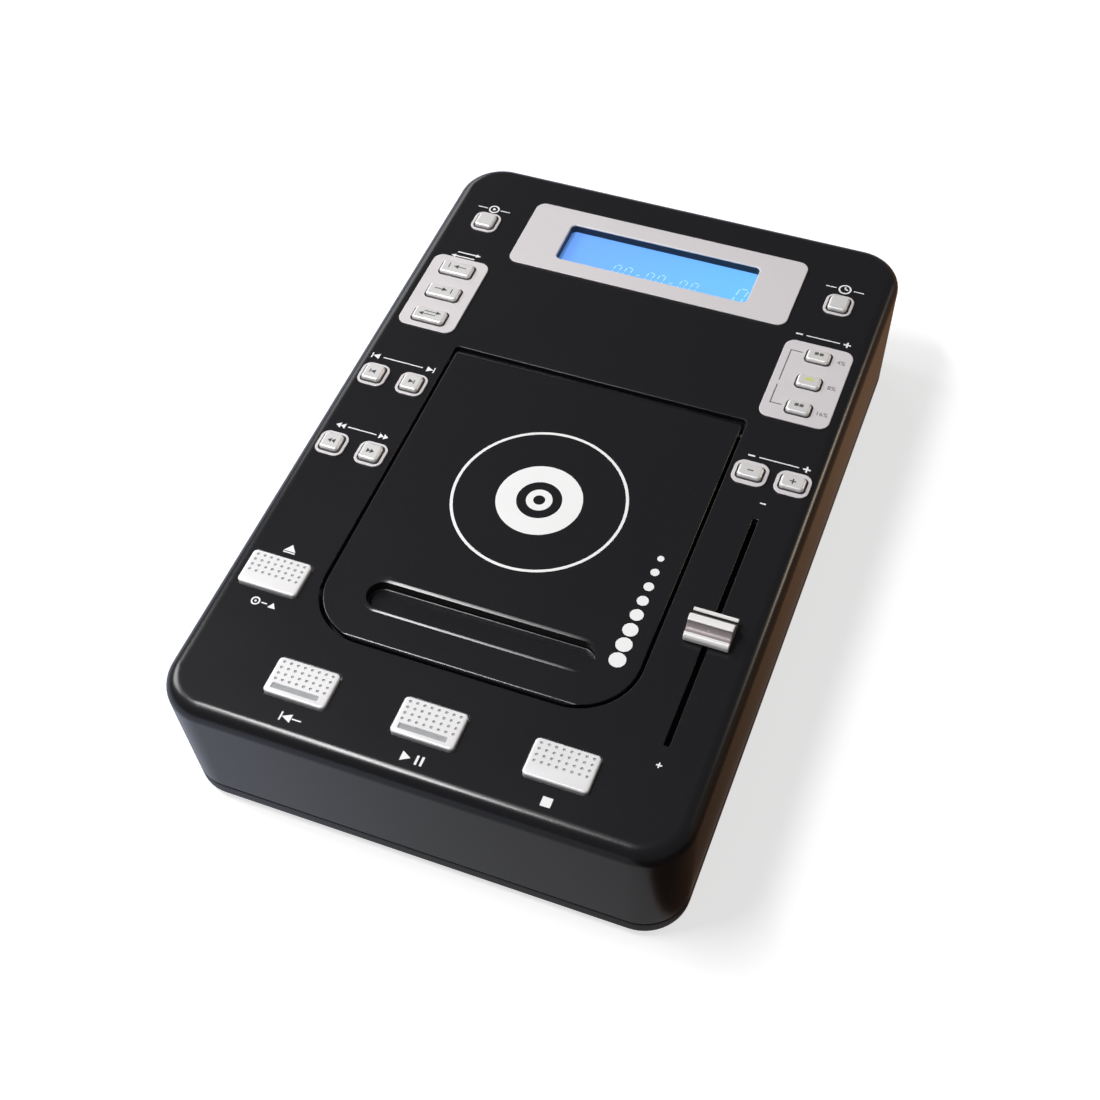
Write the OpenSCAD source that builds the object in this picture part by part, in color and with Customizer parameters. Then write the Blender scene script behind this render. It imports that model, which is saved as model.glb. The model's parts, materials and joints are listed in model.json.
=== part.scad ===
// Tabletop disc player for a mixing desk: flat case, hinged disc lid, keys and a long fader.
// Frame: X to the right, Y to the rear, Z up. The origin is on the table under the case's middle.

/* [Case] */
// Width of the case at its widest
case_w = 226; // [226:1:240]
// Depth of the case at its widest
case_d = 346.5; // [346.5:1:360]
// Height of the case without its feet
case_h = 67; // [65:1:75]
// Height of a foot below the case
foot_h = 5; // [3:0.5:10]
// Radius of a foot
foot_r = 10; // [7:0.5:14]
// Distance of a foot's centre from the two case sides next to it
foot_inset = 23; // [18:1:30]
// Corner radius seen from above
corner_r = 21.5; // [20:0.5:24]
// Radius of the rounded top edge
edge_r = 7; // [5:0.5:8]
// How far each side leans in at the bottom
lean = 1.9; // [0:0.1:2.5]
// Thickness of the case sides
wall = 2.5; // [2:0.1:3]
// Thickness of the top panel
skin = 3; // [2.5:0.1:3.5]
// Height of the bottom pan's visible band
band_h = 6; // [5:0.5:8]
// Width of the seam between pan and cover
seam = 0.8; // [0.4:0.1:1.5]
// Thickness of the pan's floor
floor_t = 2; // [1.5:0.1:3]

/* [Disc] */
// Distance of the disc's axis from the case front
disc_from_front = 147; // [147:0.5:150]
// Radius of the round recess that takes the disc
recess_r = 62.5; // [61:0.5:63]
// Depth of the disc's plane below the case top
disc_drop = 12; // [11.5:0.1:12.5]
// Radius of the hub that centres the disc
hub_r = 7.35; // [7.2:0.01:7.45]
// Radius of the turntable platter
platter_r = 15; // [12:0.5:16]

/* [Lid] */
// Width between the middles of the lid's side gaps
lid_w = 140; // [139:0.5:142]
// Distance from the disc's axis to the middle of the rear gap
lid_back = 72.4; // [72:0.1:75]
// Distance from the disc's axis to the middle of the front gap
lid_front = 93.3; // [92:0.1:95]
// Gap around the lid
lid_gap = 1.6; // [1.5:0.1:2]
// Thickness of the lid
lid_t = 3; // [2.5:0.1:3.2]
// Plan radius of the lid's front corners
lid_front_r = 26; // [18:0.5:28]
// Plan radius of the lid's rear corners
lid_back_r = 4; // [3:0.5:6]
// Plan radius of the rear corners of the opening round the lid
opening_back_r = 2.4; // [2:0.1:2.8]
// Length of the finger recess
grip_l = 101; // [80:1:104]
// Width of the finger recess
grip_w = 13.4; // [10:0.2:15]
// Depth of the finger recess
grip_deep = 5; // [4.5:0.1:5.5]
// Distance of the finger recess from the disc's axis
grip_from_disc = 68.8; // [68:0.2:72]
// Depth of the hinge axis below the case top
pivot_drop = 5.2; // [5.1:0.1:5.3]
// Distance of the hinge axis in front of the lid's rear edge
pivot_in = 4.4; // [4.2:0.1:4.6]
// Radius of the hinge pin
pin_r = 1.3; // [1.2:0.05:1.4]

/* [Keys and buttons] */
// Distance of the side buttons' centre line from the case side
column_in = 23.2; // [22:0.1:24.5]
// Distance of the corner buttons' row from the case rear
corner_row_in = 43.9; // [43:0.1:46]
// Distance of the loop and pitch range rows' middle from the case rear
plate_row_in = 96.95; // [96:0.05:98]
// Distance of the track skip row behind the disc's axis
skip_behind = 43.6; // [43:0.1:45]
// Distance of the search row in front of the disc's axis
search_before = 0.6; // [0:0.1:2]
// Distance of the eject key in front of the disc's axis
eject_before = 74.05; // [73:0.05:75]
// Distance of the front keys' row from the case front
front_row_in = 27.55; // [27:0.05:28.5]
// Distance between the two buttons of a pair
pair_gap = 19.1; // [18.5:0.1:20]
// Size of the small square buttons
square_cap = 9.2; // [8:0.1:10]
// Width of the three loop buttons
loop_cap_w = 16; // [12:0.1:18]
// Depth of the three loop buttons
loop_cap_d = 8.2; // [7:0.1:10]
// Width of the three pitch range buttons
pitch_cap_w = 10.9; // [9:0.1:13]
// Depth of the three pitch range buttons
pitch_cap_d = 7.1; // [6.5:0.1:9]
// Distance between the buttons on a plate
row_gap = 16.5; // [14:0.1:17]
// Width of the two bend buttons
bend_cap_w = 11; // [9:0.1:11.5]
// Depth of the two bend buttons
bend_cap_d = 7.6; // [7:0.1:9.5]
// Width of a large key
key_w = 27.3; // [24:0.1:30]
// Depth of a large key
key_d = 17.3; // [16:0.1:20]
// Distance between the three front keys
key_gap = 55.7; // [50:0.1:58]
// Height of a large key above the case top
key_rise = 1.6; // [1.2:0.1:3]
// Height of a small button above its surround
cap_rise = 1.8; // [1.4:0.1:2.5]
// Travel of the buttons and the front keys
press = 1; // [0.6:0.1:1.1]
// Travel of the eject key
eject_press = 2; // [1.8:0.1:2]
// Corner radius of the large keys
key_r = 2; // [1:0.1:3]
// Corner radius of the small buttons
cap_r = 1.8; // [1:0.1:2.5]
// Clearance of a cap in its hole
cap_fit = 0.5; // [0.3:0.05:0.6]

/* [Trim] */
// Thickness of the silver plates and rings
plate_t = 0.8; // [0.4:0.1:1.2]
// Width of the plate around the display
display_w = 139.8; // [130:0.1:142]
// Depth of the plate around the display
display_d = 44; // [38:0.1:46]
// Distance of the display plate's middle from the case rear
display_in = 43.65; // [43:0.05:45]
// Width of the display's window
window_w = 96.5; // [80:0.1:100]
// Depth of the display's window
window_d = 24.8; // [20:0.1:28]
// Depth of the display glass below the case top
glass_drop = 4; // [3.8:0.1:4.6]
// Width of the loop plate
loop_plate_w = 28.5; // [26:0.1:30]
// Width of the pitch plate
pitch_plate_w = 32.3; // [30:0.1:33]
// Depth of the loop and pitch plates
side_plate_d = 49.4; // [46:0.1:52]
// Width of a ring round a square button
ring_w = 13.4; // [13:0.1:15]
// Width of a ring round a bend button
bend_ring_w = 15.6; // [15:0.1:17]
// Corner radius of the silver plates
plate_r = 4.8; // [3:0.1:6]

/* [Fader] */
// Travel of the fader
fader_travel = 100; // [60:1:104]
// Length of the slot in the top panel
slot_l = 118; // [112:1:120]
// Width of the slot in the top panel
slot_w = 2.4; // [2:0.1:3]
// Distance of the slot from the case's right side
slot_in = 22.6; // [21:0.1:23]
// Width of the fader knob
knob_w = 19.2; // [16:0.1:22]
// Depth of the fader knob
knob_d = 15.3; // [14:0.1:20]
// Height of the fader knob
knob_h = 7; // [6:0.1:9]
// Gap under the fader knob
knob_gap = 0.8; // [0.5:0.1:2]

/* [Sockets] */
// Distance of the recessed rear bay from the case sides
bay_side = 23; // [21:1:24]
// Depth of the recessed bay
bay_deep = 10.8; // [10:0.1:14]
// Barrel radius of the audio sockets
phono_r = 4.15; // [4:0.01:4.3]
// Bore radius of the start socket
start_r = 1.8; // [1.76:0.01:1.9]

/* [Hidden] */
$fn = 48;
half_w = case_w / 2;
half_d = case_d / 2;
top = foot_h + case_h;
under = top - skin;
disc_y = disc_from_front - half_d;

// Lid and the opening it closes
lid_half = lid_w / 2 - lid_gap / 2;
lid_y1 = disc_y + lid_back - lid_gap / 2;
lid_y0 = disc_y - lid_front + lid_gap / 2;
lid_under = top - lid_t;
pivot_y = lid_y1 - pivot_in;
pivot_z = top - pivot_drop;
lid_swing = pivot_in + lid_gap - 0.3;
lid_lip = 1.5;
grip_y = disc_y - grip_from_disc;
grip_wall = 2;
knuckle_r = 3;
knuckle_x = 50;
knuckle_w = 8;
run_fit = 0.05;

// Disc well
well_wall = 2.4;
well_floor = 2;
disc_z = top - disc_drop;
recess_z = disc_z - 2.5;
cup_under = recess_z - well_floor;
deck_z = disc_z + 2;
hub_hole_r = platter_r + 2;
pickup_slot_w = 32;
ear_x = 45;
ear_r = 3.6;
ear_t = 3;

// Boards under the top panel
board_drop = 8;
board_z = under - board_drop;
board_t = 1.6;
board_edge = 9;
boss_r = 3;
screw_r = 1.2;
screw_head_r = 2.4;
screw_head_t = 1.8;
screw_play = 0.2;
thread_fit = 0.02;
bite = 5;
switch_w = 6;
switch_h = 3.5;
switch_floor = 1.1;
stem_r = 1.5;
stem_fit = 0.25;
stem_end = board_z + switch_floor + press + 0.2;
flange_gap = 0.1;
flange_t = 1.2;
flange_out = 1.2;
flange_z = under - flange_gap - flange_t;

// Places of the buttons
left_x = -half_w + column_in;
right_x = half_w - column_in;
left_pair = [left_x - 0.15 - pair_gap / 2, left_x - 0.15 + pair_gap / 2];
right_pair = [right_x + 0.6 - pair_gap / 2, right_x + 0.6 + pair_gap / 2];
corner_button_y = half_d - corner_row_in;
row_y = half_d - plate_row_in;
skip_y = disc_y + skip_behind;
search_y = disc_y - search_before;
front_key_y = front_row_in - half_d;
eject_y = disc_y - eject_before;
eject_x = left_x - 1.1;
play_x = 0;
display_y = half_d - display_in;
window_y = display_y - 0.5;
cap_top = top + plate_t + cap_rise;

// Fader
slot_x = half_w - slot_in;
fader_y = disc_y - 38.2;
fader_rest = fader_y - 3;
fader_w = 13;
fader_l = 128;
fader_h = 10.5;
fader_wall = 1.5;
fader_end = fader_l / 2 + 4;
blade_t = 1.2;
blade_l = 6;
foot_l = 9;
slide_fit = 0.3;

// Mechanism
rod_r = 1.5;
rod_x = 21;
rod_z = disc_z - 12.5;
plate_z = disc_z - 22;
plate_under = plate_z - 2;
chassis_x0 = -35;
chassis_x1 = 60;
chassis_y0 = disc_y - 87.75;
chassis_y1 = disc_y + 21.25;
rod_wall_y0 = chassis_y0 + 2;
rod_wall_y1 = chassis_y1 - 3;
rod_wall_t = 2;
motor_r = 12;
motor_h = 15;
lens_r = 24;
lens_y = disc_y - lens_r;
sled_z0 = disc_z - 16;
sled_z1 = disc_z - 7;
sled_x = 25;
sled_y1 = lens_y + 9;
sled_y0 = lens_y - 19;
tooth = 0.8;
pressure = 20;
wheel_n = 36;
small_n = 14;
pinion_n = 12;
wheel_z = plate_z + 0.9;
wheel_t = 2.5;
mesh_play = 0.06;
rack_x = 27.5;
gear_x = rack_x + tooth * small_n / 2 + mesh_play;
gear_y = disc_y - 45.75;
drive_gap = tooth * (wheel_n + pinion_n) / 2 + mesh_play;
drive_turn = -30;
drive_x = gear_x + drive_gap * cos(drive_turn);
drive_y = gear_y + drive_gap * sin(drive_turn);
post_z = disc_z - 13;
grommet_t = 4;
posts = [
    [chassis_x0 + 5, disc_y + 16.25], [chassis_x1 - 6, disc_y + 16.25],
    [chassis_x0 + 5, disc_y - 49.75], [chassis_x1 - 6, disc_y - 23.75]
];

// Lid gear and damper
sector_n = 30;
damper_n = 10;
sector_x = 62;
sector_t = 3.5;
sector_turn = 200;
damper_gap = tooth * (sector_n + damper_n) / 2 + mesh_play;
damper_y = pivot_y + damper_gap * cos(sector_turn);
damper_z = pivot_z + damper_gap * sin(sector_turn);
damper_r = 6;
damper_x0 = sector_x - 8;
damper_x1 = sector_x - 0.6;

// Latch worked by the eject key
latch_y = eject_y + 2.8;
latch_z0 = disc_z - 4.5;
latch_z1 = disc_z + 2.6;
latch_half = 4.2;
fork_half = 2.2;
nose_t = 2;
nose_tip = -lid_half + 1.9;
catch_x = nose_tip + 1;
catch_t = 2.5;
catch_lip = 2;
cam_r = 1.25;
cam_fit = 0.1;
cam_z = disc_z + 0.4;
rail_t = 1.8;
rail_gap = 0.3;
spring_y = eject_y - 6;
shelf_z = disc_z - 0.5;

// Rear bay and the case screws
bay_t = 1.2;
bay_z0 = foot_h + 9;
bay_z1 = under - 9;
bay_y1 = half_d - wall - lean + 0.1;
bay_y0 = bay_y1 - bay_deep - bay_t;
bay_w = case_w - 2 * bay_side;
phono_l = 9;
start_in = 14;
phono_gap = 18;
start_x = bay_w / 2 - start_in;
phono_x = [start_x - 3 * phono_gap - 2, start_x - 2 * phono_gap - 2, start_x - phono_gap];
socket_z = (bay_z0 + bay_z1) / 2;
inlet_in = 20;
rocker_gap = 32;
inlet_x = inlet_in - bay_w / 2;
rocker_x = inlet_x + rocker_gap;
plate_split = (rocker_x + phono_x[0]) / 2;
rocker_tilt = 7;
column_r = 3.6;
column_z = foot_h + floor_t + 2;
case_screw_r = 1.5;
case_head_r = 3;
corner_boss = corner_r - 8.1;
columns = [
    [half_w - corner_boss, half_d - corner_boss], [corner_boss - half_w, half_d - corner_boss],
    [half_w - corner_boss, corner_boss - half_d], [corner_boss - half_w, corner_boss - half_d],
    [0, 11.25 - half_d]
];
feet = [for (sx = [-1, 1]) for (sy = [-1, 1]) [sx * (half_w - foot_inset), sy * (half_d - foot_inset)]];
board_floor = foot_h + floor_t + 6;
chip_t = 2;
cap_can_r = 3.5;
cap_can_h = 7;
plug_w = 18;
plug_d = 5;
core_w = 48;
core_d = 16;
core_h = 38;
core_lug = 4;
coil_w = 30;
coil_d = 11;
coil_in = 7;
core_rear = 60;
main_w = 130;
main_d = 120;
main_x = -5;
main_y = disc_y - 23.75;
main_posts = [
    for (sx = [-1, 1])
    for (sy = [-1, 1])
    [main_x + sx * (main_w / 2 - 5), main_y + sy * (main_d / 2 - 5)]
];

// Screws that hold boards, well ears, fader and bay to bosses under the top panel: x, y, seat height
left_bosses = [[left_x - 1, skip_y + 21], [left_x - 1, half_d - 62], [left_x - 1, search_y + 22]];
right_bosses = [[right_x, skip_y + 21], [right_x, half_d - 62]];
front_bosses = [[play_x - key_gap / 2, front_key_y + 1], [play_x + key_gap / 2, front_key_y + 1]];
display_bosses = [[-window_w / 2 - 12, display_y], [window_w / 2 + 12, display_y]];
well_ears = [
    for (sx = [-1, 1])
    for (y = [lid_y1 + lid_gap + well_wall + ear_r - 0.2, lid_y0 - lid_gap - well_wall - ear_r + 0.2])
    [sx * ear_x, y]
];
fader_ends = [[slot_x, fader_y - fader_end], [slot_x, fader_y + fader_end]];
board_bosses = concat(left_bosses, right_bosses, front_bosses, display_bosses);

// ---- plain shapes ----

// Rounded rectangle, centred
module round_rect(w, d, r) {
    square([w - 2 * r, d], center = true);
    square([w, d - 2 * r], center = true);
    for (sx = [-1, 1]) for (sy = [-1, 1]) translate([sx * (w / 2 - r), sy * (d / 2 - r)]) circle(r);
}

// Upright block with a rounded plan, from z0 to z1
module block(x, y, w, d, r, z0, z1) {
    translate([x, y, z0]) linear_extrude(z1 - z0) round_rect(w, d, r);
}

// Plain box between two corners
module box(a, b) {
    translate(a) cube(b - a);
}

// Upright cylinder from z0 to z1
module rod(x, y, r, z0, z1) {
    translate([x, y, z0]) cylinder(r = r, h = z1 - z0);
}

// Extrudes an outline drawn in the plane of Y and Z along X, from x0 to x1
module along_x(x0, x1) {
    translate([x0, 0, 0]) rotate([90, 0, 90]) linear_extrude(x1 - x0) children();
}

// How far the case side leans in at height z
function lean_at(z) = lean * (1 - (z - foot_h) / (case_h - edge_r));

// Side of the case seen from its end: reach is the plan radius, e the radius of the top edge
function side_outline(reach, e, ztop) = concat(
    [[0, foot_h], [reach - lean, foot_h]],
    [for (a = [0:7.5:90]) [reach - e + e * cos(a), ztop - e + e * sin(a)]],
    [[0, ztop]]
);

// One straight stretch of the case side, its inner face on X = 0
module side_run(length, pts) {
    rotate([90, 0, 0]) translate([0, 0, -length / 2]) linear_extrude(length) polygon(pts);
}

// Solid of the case's outer form, pulled in by inset on every side and by drop at the top
module case_form(inset, drop) {
    reach = corner_r - inset;
    pts = side_outline(reach, edge_r - inset, top - drop);
    x = half_w - corner_r;
    y = half_d - corner_r;
    box([-x, -y, foot_h], [x, y, top - drop]);
    for (m = [0, 1]) mirror([m, 0, 0]) {
        translate([x, 0, 0]) side_run(2 * y, pts);
        for (n = [0, 1]) mirror([0, n, 0]) translate([x, y, 0]) rotate_extrude(angle = 90) polygon(pts);
    }
    for (s = [90, -90]) rotate([0, 0, s]) translate([y, 0, 0]) side_run(2 * x, pts);
}

// Outline of the lid, or of the opening round it when grown
module lid_outline(grow) {
    w = lid_half + grow;
    y1 = lid_y1 + grow;
    y0 = lid_y0 - grow;
    rb = grow > 0 ? opening_back_r - lid_gap + grow : lid_back_r - lid_gap / 2;
    rf = lid_front_r - lid_gap / 2 + grow;
    translate([-w, y0 + rf]) square([2 * w, y1 - y0 - rf - rb]);
    translate([rb - w, y1 - rb]) square([2 * (w - rb), rb]);
    translate([rf - w, y0]) square([2 * (w - rf), rf]);
    for (sx = [-1, 1]) {
        translate([sx * (w - rb), y1 - rb]) circle(rb);
        translate([sx * (w - rf), y0 + rf]) circle(rf);
    }
}

// Boss under the top panel, open below for a screw
module boss(at, z) {
    difference() {
        rod(at[0], at[1], boss_r, z, under + 0.5);
        rod(at[0], at[1], screw_r + thread_fit, z - 1, z + bite + 0.5);
    }
}

// Small screw driven upwards, its head under z_seat and its tip bite above z_boss
module screw_up(at, z_seat, z_boss) {
    rod(at[0], at[1], screw_head_r, z_seat - screw_head_t, z_seat);
    rod(at[0], at[1], screw_r, z_seat, z_boss + bite);
}

// Small screw driven downwards, its head on z_seat
module screw_down(at, z_seat, z_tip) {
    rod(at[0], at[1], screw_head_r, z_seat, z_seat + screw_head_t);
    rod(at[0], at[1], screw_r, z_tip, z_seat);
}

// ---- gears ----

function involute(a) = tan(a) * 180 / PI - a;

// Half the angle of a tooth at radius r, for a wheel with n teeth
function half_tooth(n, r) =
    let (base = tooth * n / 2 * cos(pressure))
    90 / n - 2 * mesh_play / tooth * 90 / n / PI + involute(pressure) - involute(acos(base / max(r, base)));

// Outline of the tooth whose middle is at angle c
function tooth_points(n, c) =
    let (
        rp = tooth * n / 2,
        root = rp - 1.05 * tooth,
        tip = rp + 0.8 * tooth,
        foot = max(root, rp * cos(pressure)),
        radii = [for (i = [0:4]) foot + (tip - foot) * i / 4],
        rising = [for (r = radii) [r, c - half_tooth(n, r)]],
        falling = [for (i = [4:-1:0]) [radii[i], c + half_tooth(n, radii[i])]],
        all = concat([[root, c - half_tooth(n, foot)]], rising, falling, [[root, c + half_tooth(n, foot)]])
    )
    [for (p = all) [p[0] * cos(p[1]), p[0] * sin(p[1])]];

// Whole wheel, one tooth's middle at angle start
module gear_outline(n, start) {
    polygon([for (k = [0:n - 1]) each tooth_points(n, start + k * 360 / n)]);
}

// ---- wire ----

function unit(v) = v / norm(v);

// Ring of points round path point i, square to the path
function wire_ring(path, i, r, sides) =
    let (
        a = path[max(i - 1, 0)],
        b = path[min(i + 1, len(path) - 1)],
        t = unit(b - a),
        u = unit(cross(t, abs(t[0]) > 0.9 ? [0, 1, 0] : [1, 0, 0])),
        v = cross(t, u)
    )
    [for (k = [0:sides - 1]) path[i] + r * (cos(360 * k / sides) * u + sin(360 * k / sides) * v)];

// Round wire of radius r swept along a path of points
module wire(path, r, sides = 8) {
    n = len(path);
    points = [for (i = [0:n - 1]) each wire_ring(path, i, r, sides)];
    skin_faces = [
        for (i = [0:n - 2]) for (k = [0:sides - 1])
        [i * sides + k, i * sides + (k + 1) % sides, (i + 1) * sides + (k + 1) % sides, (i + 1) * sides + k]
    ];
    first = [for (k = [sides - 1:-1:0]) k];
    last = [for (k = [0:sides - 1]) (n - 1) * sides + k];
    polyhedron(points, concat([first], skin_faces, [last]), convexity = 10);
}

// ---- case ----

// Holes in the top panel for one cap
module cap_hole(at, w, d, r) {
    block(at[0], at[1], w + 2 * cap_fit, d + 2 * cap_fit, r + cap_fit, under - 1, top + 1);
}

square_places = [
    [left_x, corner_button_y], [right_x, corner_button_y],
    [left_pair[0], skip_y], [left_pair[1], skip_y], [left_pair[0], search_y], [left_pair[1], search_y]
];
bend_places = [[right_pair[0], skip_y + 0.35], [right_pair[1], skip_y + 0.35]];
loop_places = [for (k = [1:-1:-1]) [left_x, row_y + k * row_gap]];
pitch_places = [for (k = [1:-1:-1]) [right_x + 0.4, row_y + 0.45 + k * row_gap]];
front_places = [for (k = [-1:1]) [play_x + k * key_gap, front_key_y]];

module top_cover() {
    color([0.13, 0.13, 0.14]) difference() {
        union() {
            difference() {
                case_form(0, 0);
                case_form(wall, skin);
                // everything below the seam belongs to the pan
                box([-case_w, -case_d, 0], [case_w, case_d, foot_h + band_h + seam]);
            }
            for (c = columns) rod(c[0], c[1], column_r, column_z, under + 0.5);
            for (b = board_bosses) boss(b, board_z);
            for (b = well_ears) boss(b, deck_z + ear_t - 1);
            for (b = fader_ends) boss(b, under - fader_h + 2);
            // shelf that carries the eject key's spring
            box([eject_x - 4, eject_y - key_d / 2 - 4, shelf_z - 2],
                [eject_x + 4, eject_y - key_d / 2 - 2.2, under + 0.5]);
            box([eject_x - 4, eject_y - key_d / 2 - 4, shelf_z - 2], [eject_x + 4, spring_y + 4, shelf_z]);
        }
        translate([0, 0, under - 1]) linear_extrude(skin + 2) lid_outline(lid_gap);
        for (p = square_places) cap_hole(p, square_cap, square_cap, cap_r);
        for (p = bend_places) cap_hole(p, bend_cap_w, bend_cap_d, cap_r);
        for (p = loop_places) cap_hole(p, loop_cap_w, loop_cap_d, cap_r);
        for (p = pitch_places) cap_hole(p, pitch_cap_w, pitch_cap_d, cap_r);
        for (p = front_places) cap_hole(p, key_w, key_d, key_r);
        cap_hole([eject_x, eject_y], key_w, key_d, key_r);
        block(0, window_y, window_w + 2.4, window_d + 2.4, 3, under - 1, top + 1);
        box([slot_x - slot_w / 2, fader_y - slot_l / 2, under - 1],
            [slot_x + slot_w / 2, fader_y + slot_l / 2, top + 1]);
        // rear opening to the connector bay
        box([bay_t - bay_w / 2, half_d - 10, bay_z0 + bay_t],
            [bay_w / 2 - bay_t, half_d + 1, bay_z1 - bay_t]);
        for (c = columns) rod(c[0], c[1], case_screw_r + thread_fit, column_z - 1, column_z + 16);
    }
}

module bottom_pan() {
    z = foot_h + band_h;
    lip = lean_at(z) + wall + 0.3;
    floor_z = foot_h + floor_t;
    color([0.1, 0.1, 0.11]) difference() {
        union() {
            intersection() {
                difference() {
                    case_form(0, 0);
                    difference() {
                        case_form(wall, skin);
                        box([-case_w, -case_d, 0], [case_w, case_d, floor_z]);
                    }
                }
                box([-case_w, -case_d, 0], [case_w, case_d, z]);
            }
            difference() {
                block(0, 0, case_w - 2 * lip, case_d - 2 * lip, corner_r - lip, floor_z - 0.5, z + 4.5);
                block(0, 0, case_w - 2 * lip - 3, case_d - 2 * lip - 3, corner_r - lip - 1.5,
                      floor_z - 1, z + 5);
                // notch under the connector bay
                box([-bay_w / 2 - 1, bay_y0, bay_z0], [bay_w / 2 + 1, half_d, z + 5]);
            }
            for (c = columns) rod(c[0], c[1], column_r + 1, floor_z - 0.5, column_z);
            for (p = main_posts) rod(p[0], p[1], boss_r, floor_z - 0.5, board_floor);
            // ribs that carry the connector bay
            for (x = [-60, 60]) box([x - 2, bay_y0, floor_z - 0.5], [x + 2, bay_y1, bay_z0]);
        }
        for (c = columns) {
            rod(c[0], c[1], case_screw_r + screw_play, foot_h - 1, column_z + 1);
            rod(c[0], c[1], case_head_r + screw_play, foot_h - 1, foot_h + 2);
        }
        for (p = main_posts) rod(p[0], p[1], screw_r + thread_fit, board_floor - bite - 0.5, board_floor + 1);
        for (f = feet) rod(f[0], f[1], foot_r / 3 + thread_fit, foot_h - 1, floor_z + 1);
        for (y = [-40:10:40]) block(0, main_y + y, 60, 3, 1.4, foot_h - 1, floor_z + 1);
    }
}

module rubber_feet() {
    color([0.06, 0.06, 0.06]) for (f = feet) {
        rod(f[0], f[1], foot_r, 0, foot_h);
        rod(f[0], f[1], foot_r / 3, foot_h, foot_h + floor_t + 1);
    }
}

module case_screws() {
    color([0.2, 0.2, 0.21]) for (c = columns) {
        rod(c[0], c[1], case_head_r, foot_h + 0.2, foot_h + 2);
        rod(c[0], c[1], case_screw_r, foot_h + 2, column_z + 14);
    }
}

// Four walls round the bay; the two socket plates close its inner end
module connector_bay() {
    color([0.3, 0.3, 0.31]) difference() {
        box([-bay_w / 2, bay_y0, bay_z0], [bay_w / 2, bay_y1, bay_z1]);
        box([bay_t - bay_w / 2, bay_y0 - 1, bay_z0 + bay_t],
            [bay_w / 2 - bay_t, bay_y1 + 1, bay_z1 - bay_t]);
    }
}

module mains_plate() {
    color([0.3, 0.3, 0.31]) difference() {
        box([bay_t - bay_w / 2, bay_y0, bay_z0 + bay_t], [plate_split, bay_y0 + bay_t, bay_z1 - bay_t]);
        box([inlet_x - 12, bay_y0 - 1, socket_z - 8], [inlet_x + 12, bay_y0 + 3, socket_z + 8]);
        box([rocker_x - 10, bay_y0 - 1, socket_z - 7], [rocker_x + 10, bay_y0 + 3, socket_z + 7]);
    }
}

module jack_plate() {
    color([0.3, 0.3, 0.31]) difference() {
        box([plate_split, bay_y0, bay_z0 + bay_t], [bay_w / 2 - bay_t, bay_y0 + bay_t, bay_z1 - bay_t]);
        for (x = phono_x) translate([x, bay_y0 - 1, socket_z]) rotate([-90, 0, 0]) cylinder(r = 5, h = 4);
        translate([start_x, bay_y0 - 1, socket_z]) rotate([-90, 0, 0]) cylinder(r = 4, h = 4);
    }
}

// ---- disc well, lid and latch ----

module disc_well() {
    color([0.16, 0.16, 0.17]) difference() {
        union() {
            difference() {
                translate([0, 0, cup_under]) linear_extrude(under - cup_under)
                    lid_outline(lid_gap + well_wall);
                translate([0, 0, cup_under - 1]) linear_extrude(case_h) lid_outline(lid_gap);
            }
            translate([0, 0, deck_z - well_floor]) linear_extrude(well_floor) lid_outline(lid_gap + 0.5);
            rod(0, disc_y, recess_r + 2, cup_under, deck_z);
            for (b = well_ears) rod(b[0], b[1], ear_r, deck_z - 1, deck_z + ear_t - 1);
            for (p = posts) rod(p[0], p[1], 3.5, post_z + grommet_t, cup_under + 0.5);
            // rails that carry the latch
            for (s = [-1, 1]) {
                box([-lid_half - lid_gap - 15, latch_y + s * (latch_half + rail_gap + rail_t / 2) - rail_t / 2,
                     latch_z0 - 2],
                    [-lid_half - lid_gap - 1, latch_y + s * (latch_half + rail_gap + rail_t / 2) + rail_t / 2,
                     latch_z1 + 1.2]);
            }
            box([-lid_half - lid_gap - 15, latch_y - latch_half - rail_gap - rail_t, latch_z0 - 2],
                [-lid_half - lid_gap - 1, latch_y + latch_half + rail_gap + rail_t, latch_z0 - rail_gap]);
        }
        rod(0, disc_y, recess_r, recess_z, top);
        rod(0, disc_y, hub_hole_r, cup_under - 1, top);
        box([-pickup_slot_w / 2, disc_y - recess_r + 0.5, cup_under - 1], [pickup_slot_w / 2, disc_y, top]);
        // pocket for the lid gear and its damper
        box([sector_x - 10, damper_y - 12, cup_under - 1], [lid_half, lid_y1 + lid_gap, top]);
        // pocket for the lid's catch, and the way through for the latch's nose
        box([-lid_half, latch_y - 6, cup_under - 1], [catch_x + catch_t + 2, latch_y + 6, top]);
        box([-lid_half - lid_gap - well_wall - 1, latch_y - latch_half + 0.3, latch_z1 - nose_t - 0.3],
            [catch_x, latch_y + latch_half - 0.3, latch_z1 + 0.3]);
        translate([-lid_w, pivot_y, pivot_z]) rotate([0, 90, 0])
            cylinder(r = pin_r + thread_fit, h = 2 * lid_w);
        for (b = well_ears) rod(b[0], b[1], screw_r + screw_play, 0, top);
        for (p = posts) rod(p[0], p[1], screw_r + thread_fit, 0, post_z + grommet_t + bite - 1);
    }
}

// Side view of the lid: a rear edge that is round about the hinge, and a small lip at the front
swing_low = acos(pivot_in / lid_swing);
swing_high = asin(pivot_drop / lid_swing);
function lid_side() = concat(
    [[lid_y0, lid_under], [lid_y1, lid_under]],
    [
        for (i = [0:5])
        let (a = swing_low + (swing_high - swing_low) * i / 5)
        [pivot_y + lid_swing * cos(a), pivot_z + lid_swing * sin(a)]
    ],
    [for (a = [90:15:180]) [lid_y0 + lid_lip + lid_lip * cos(a), top - lid_lip + lid_lip * sin(a)]]
);

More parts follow.
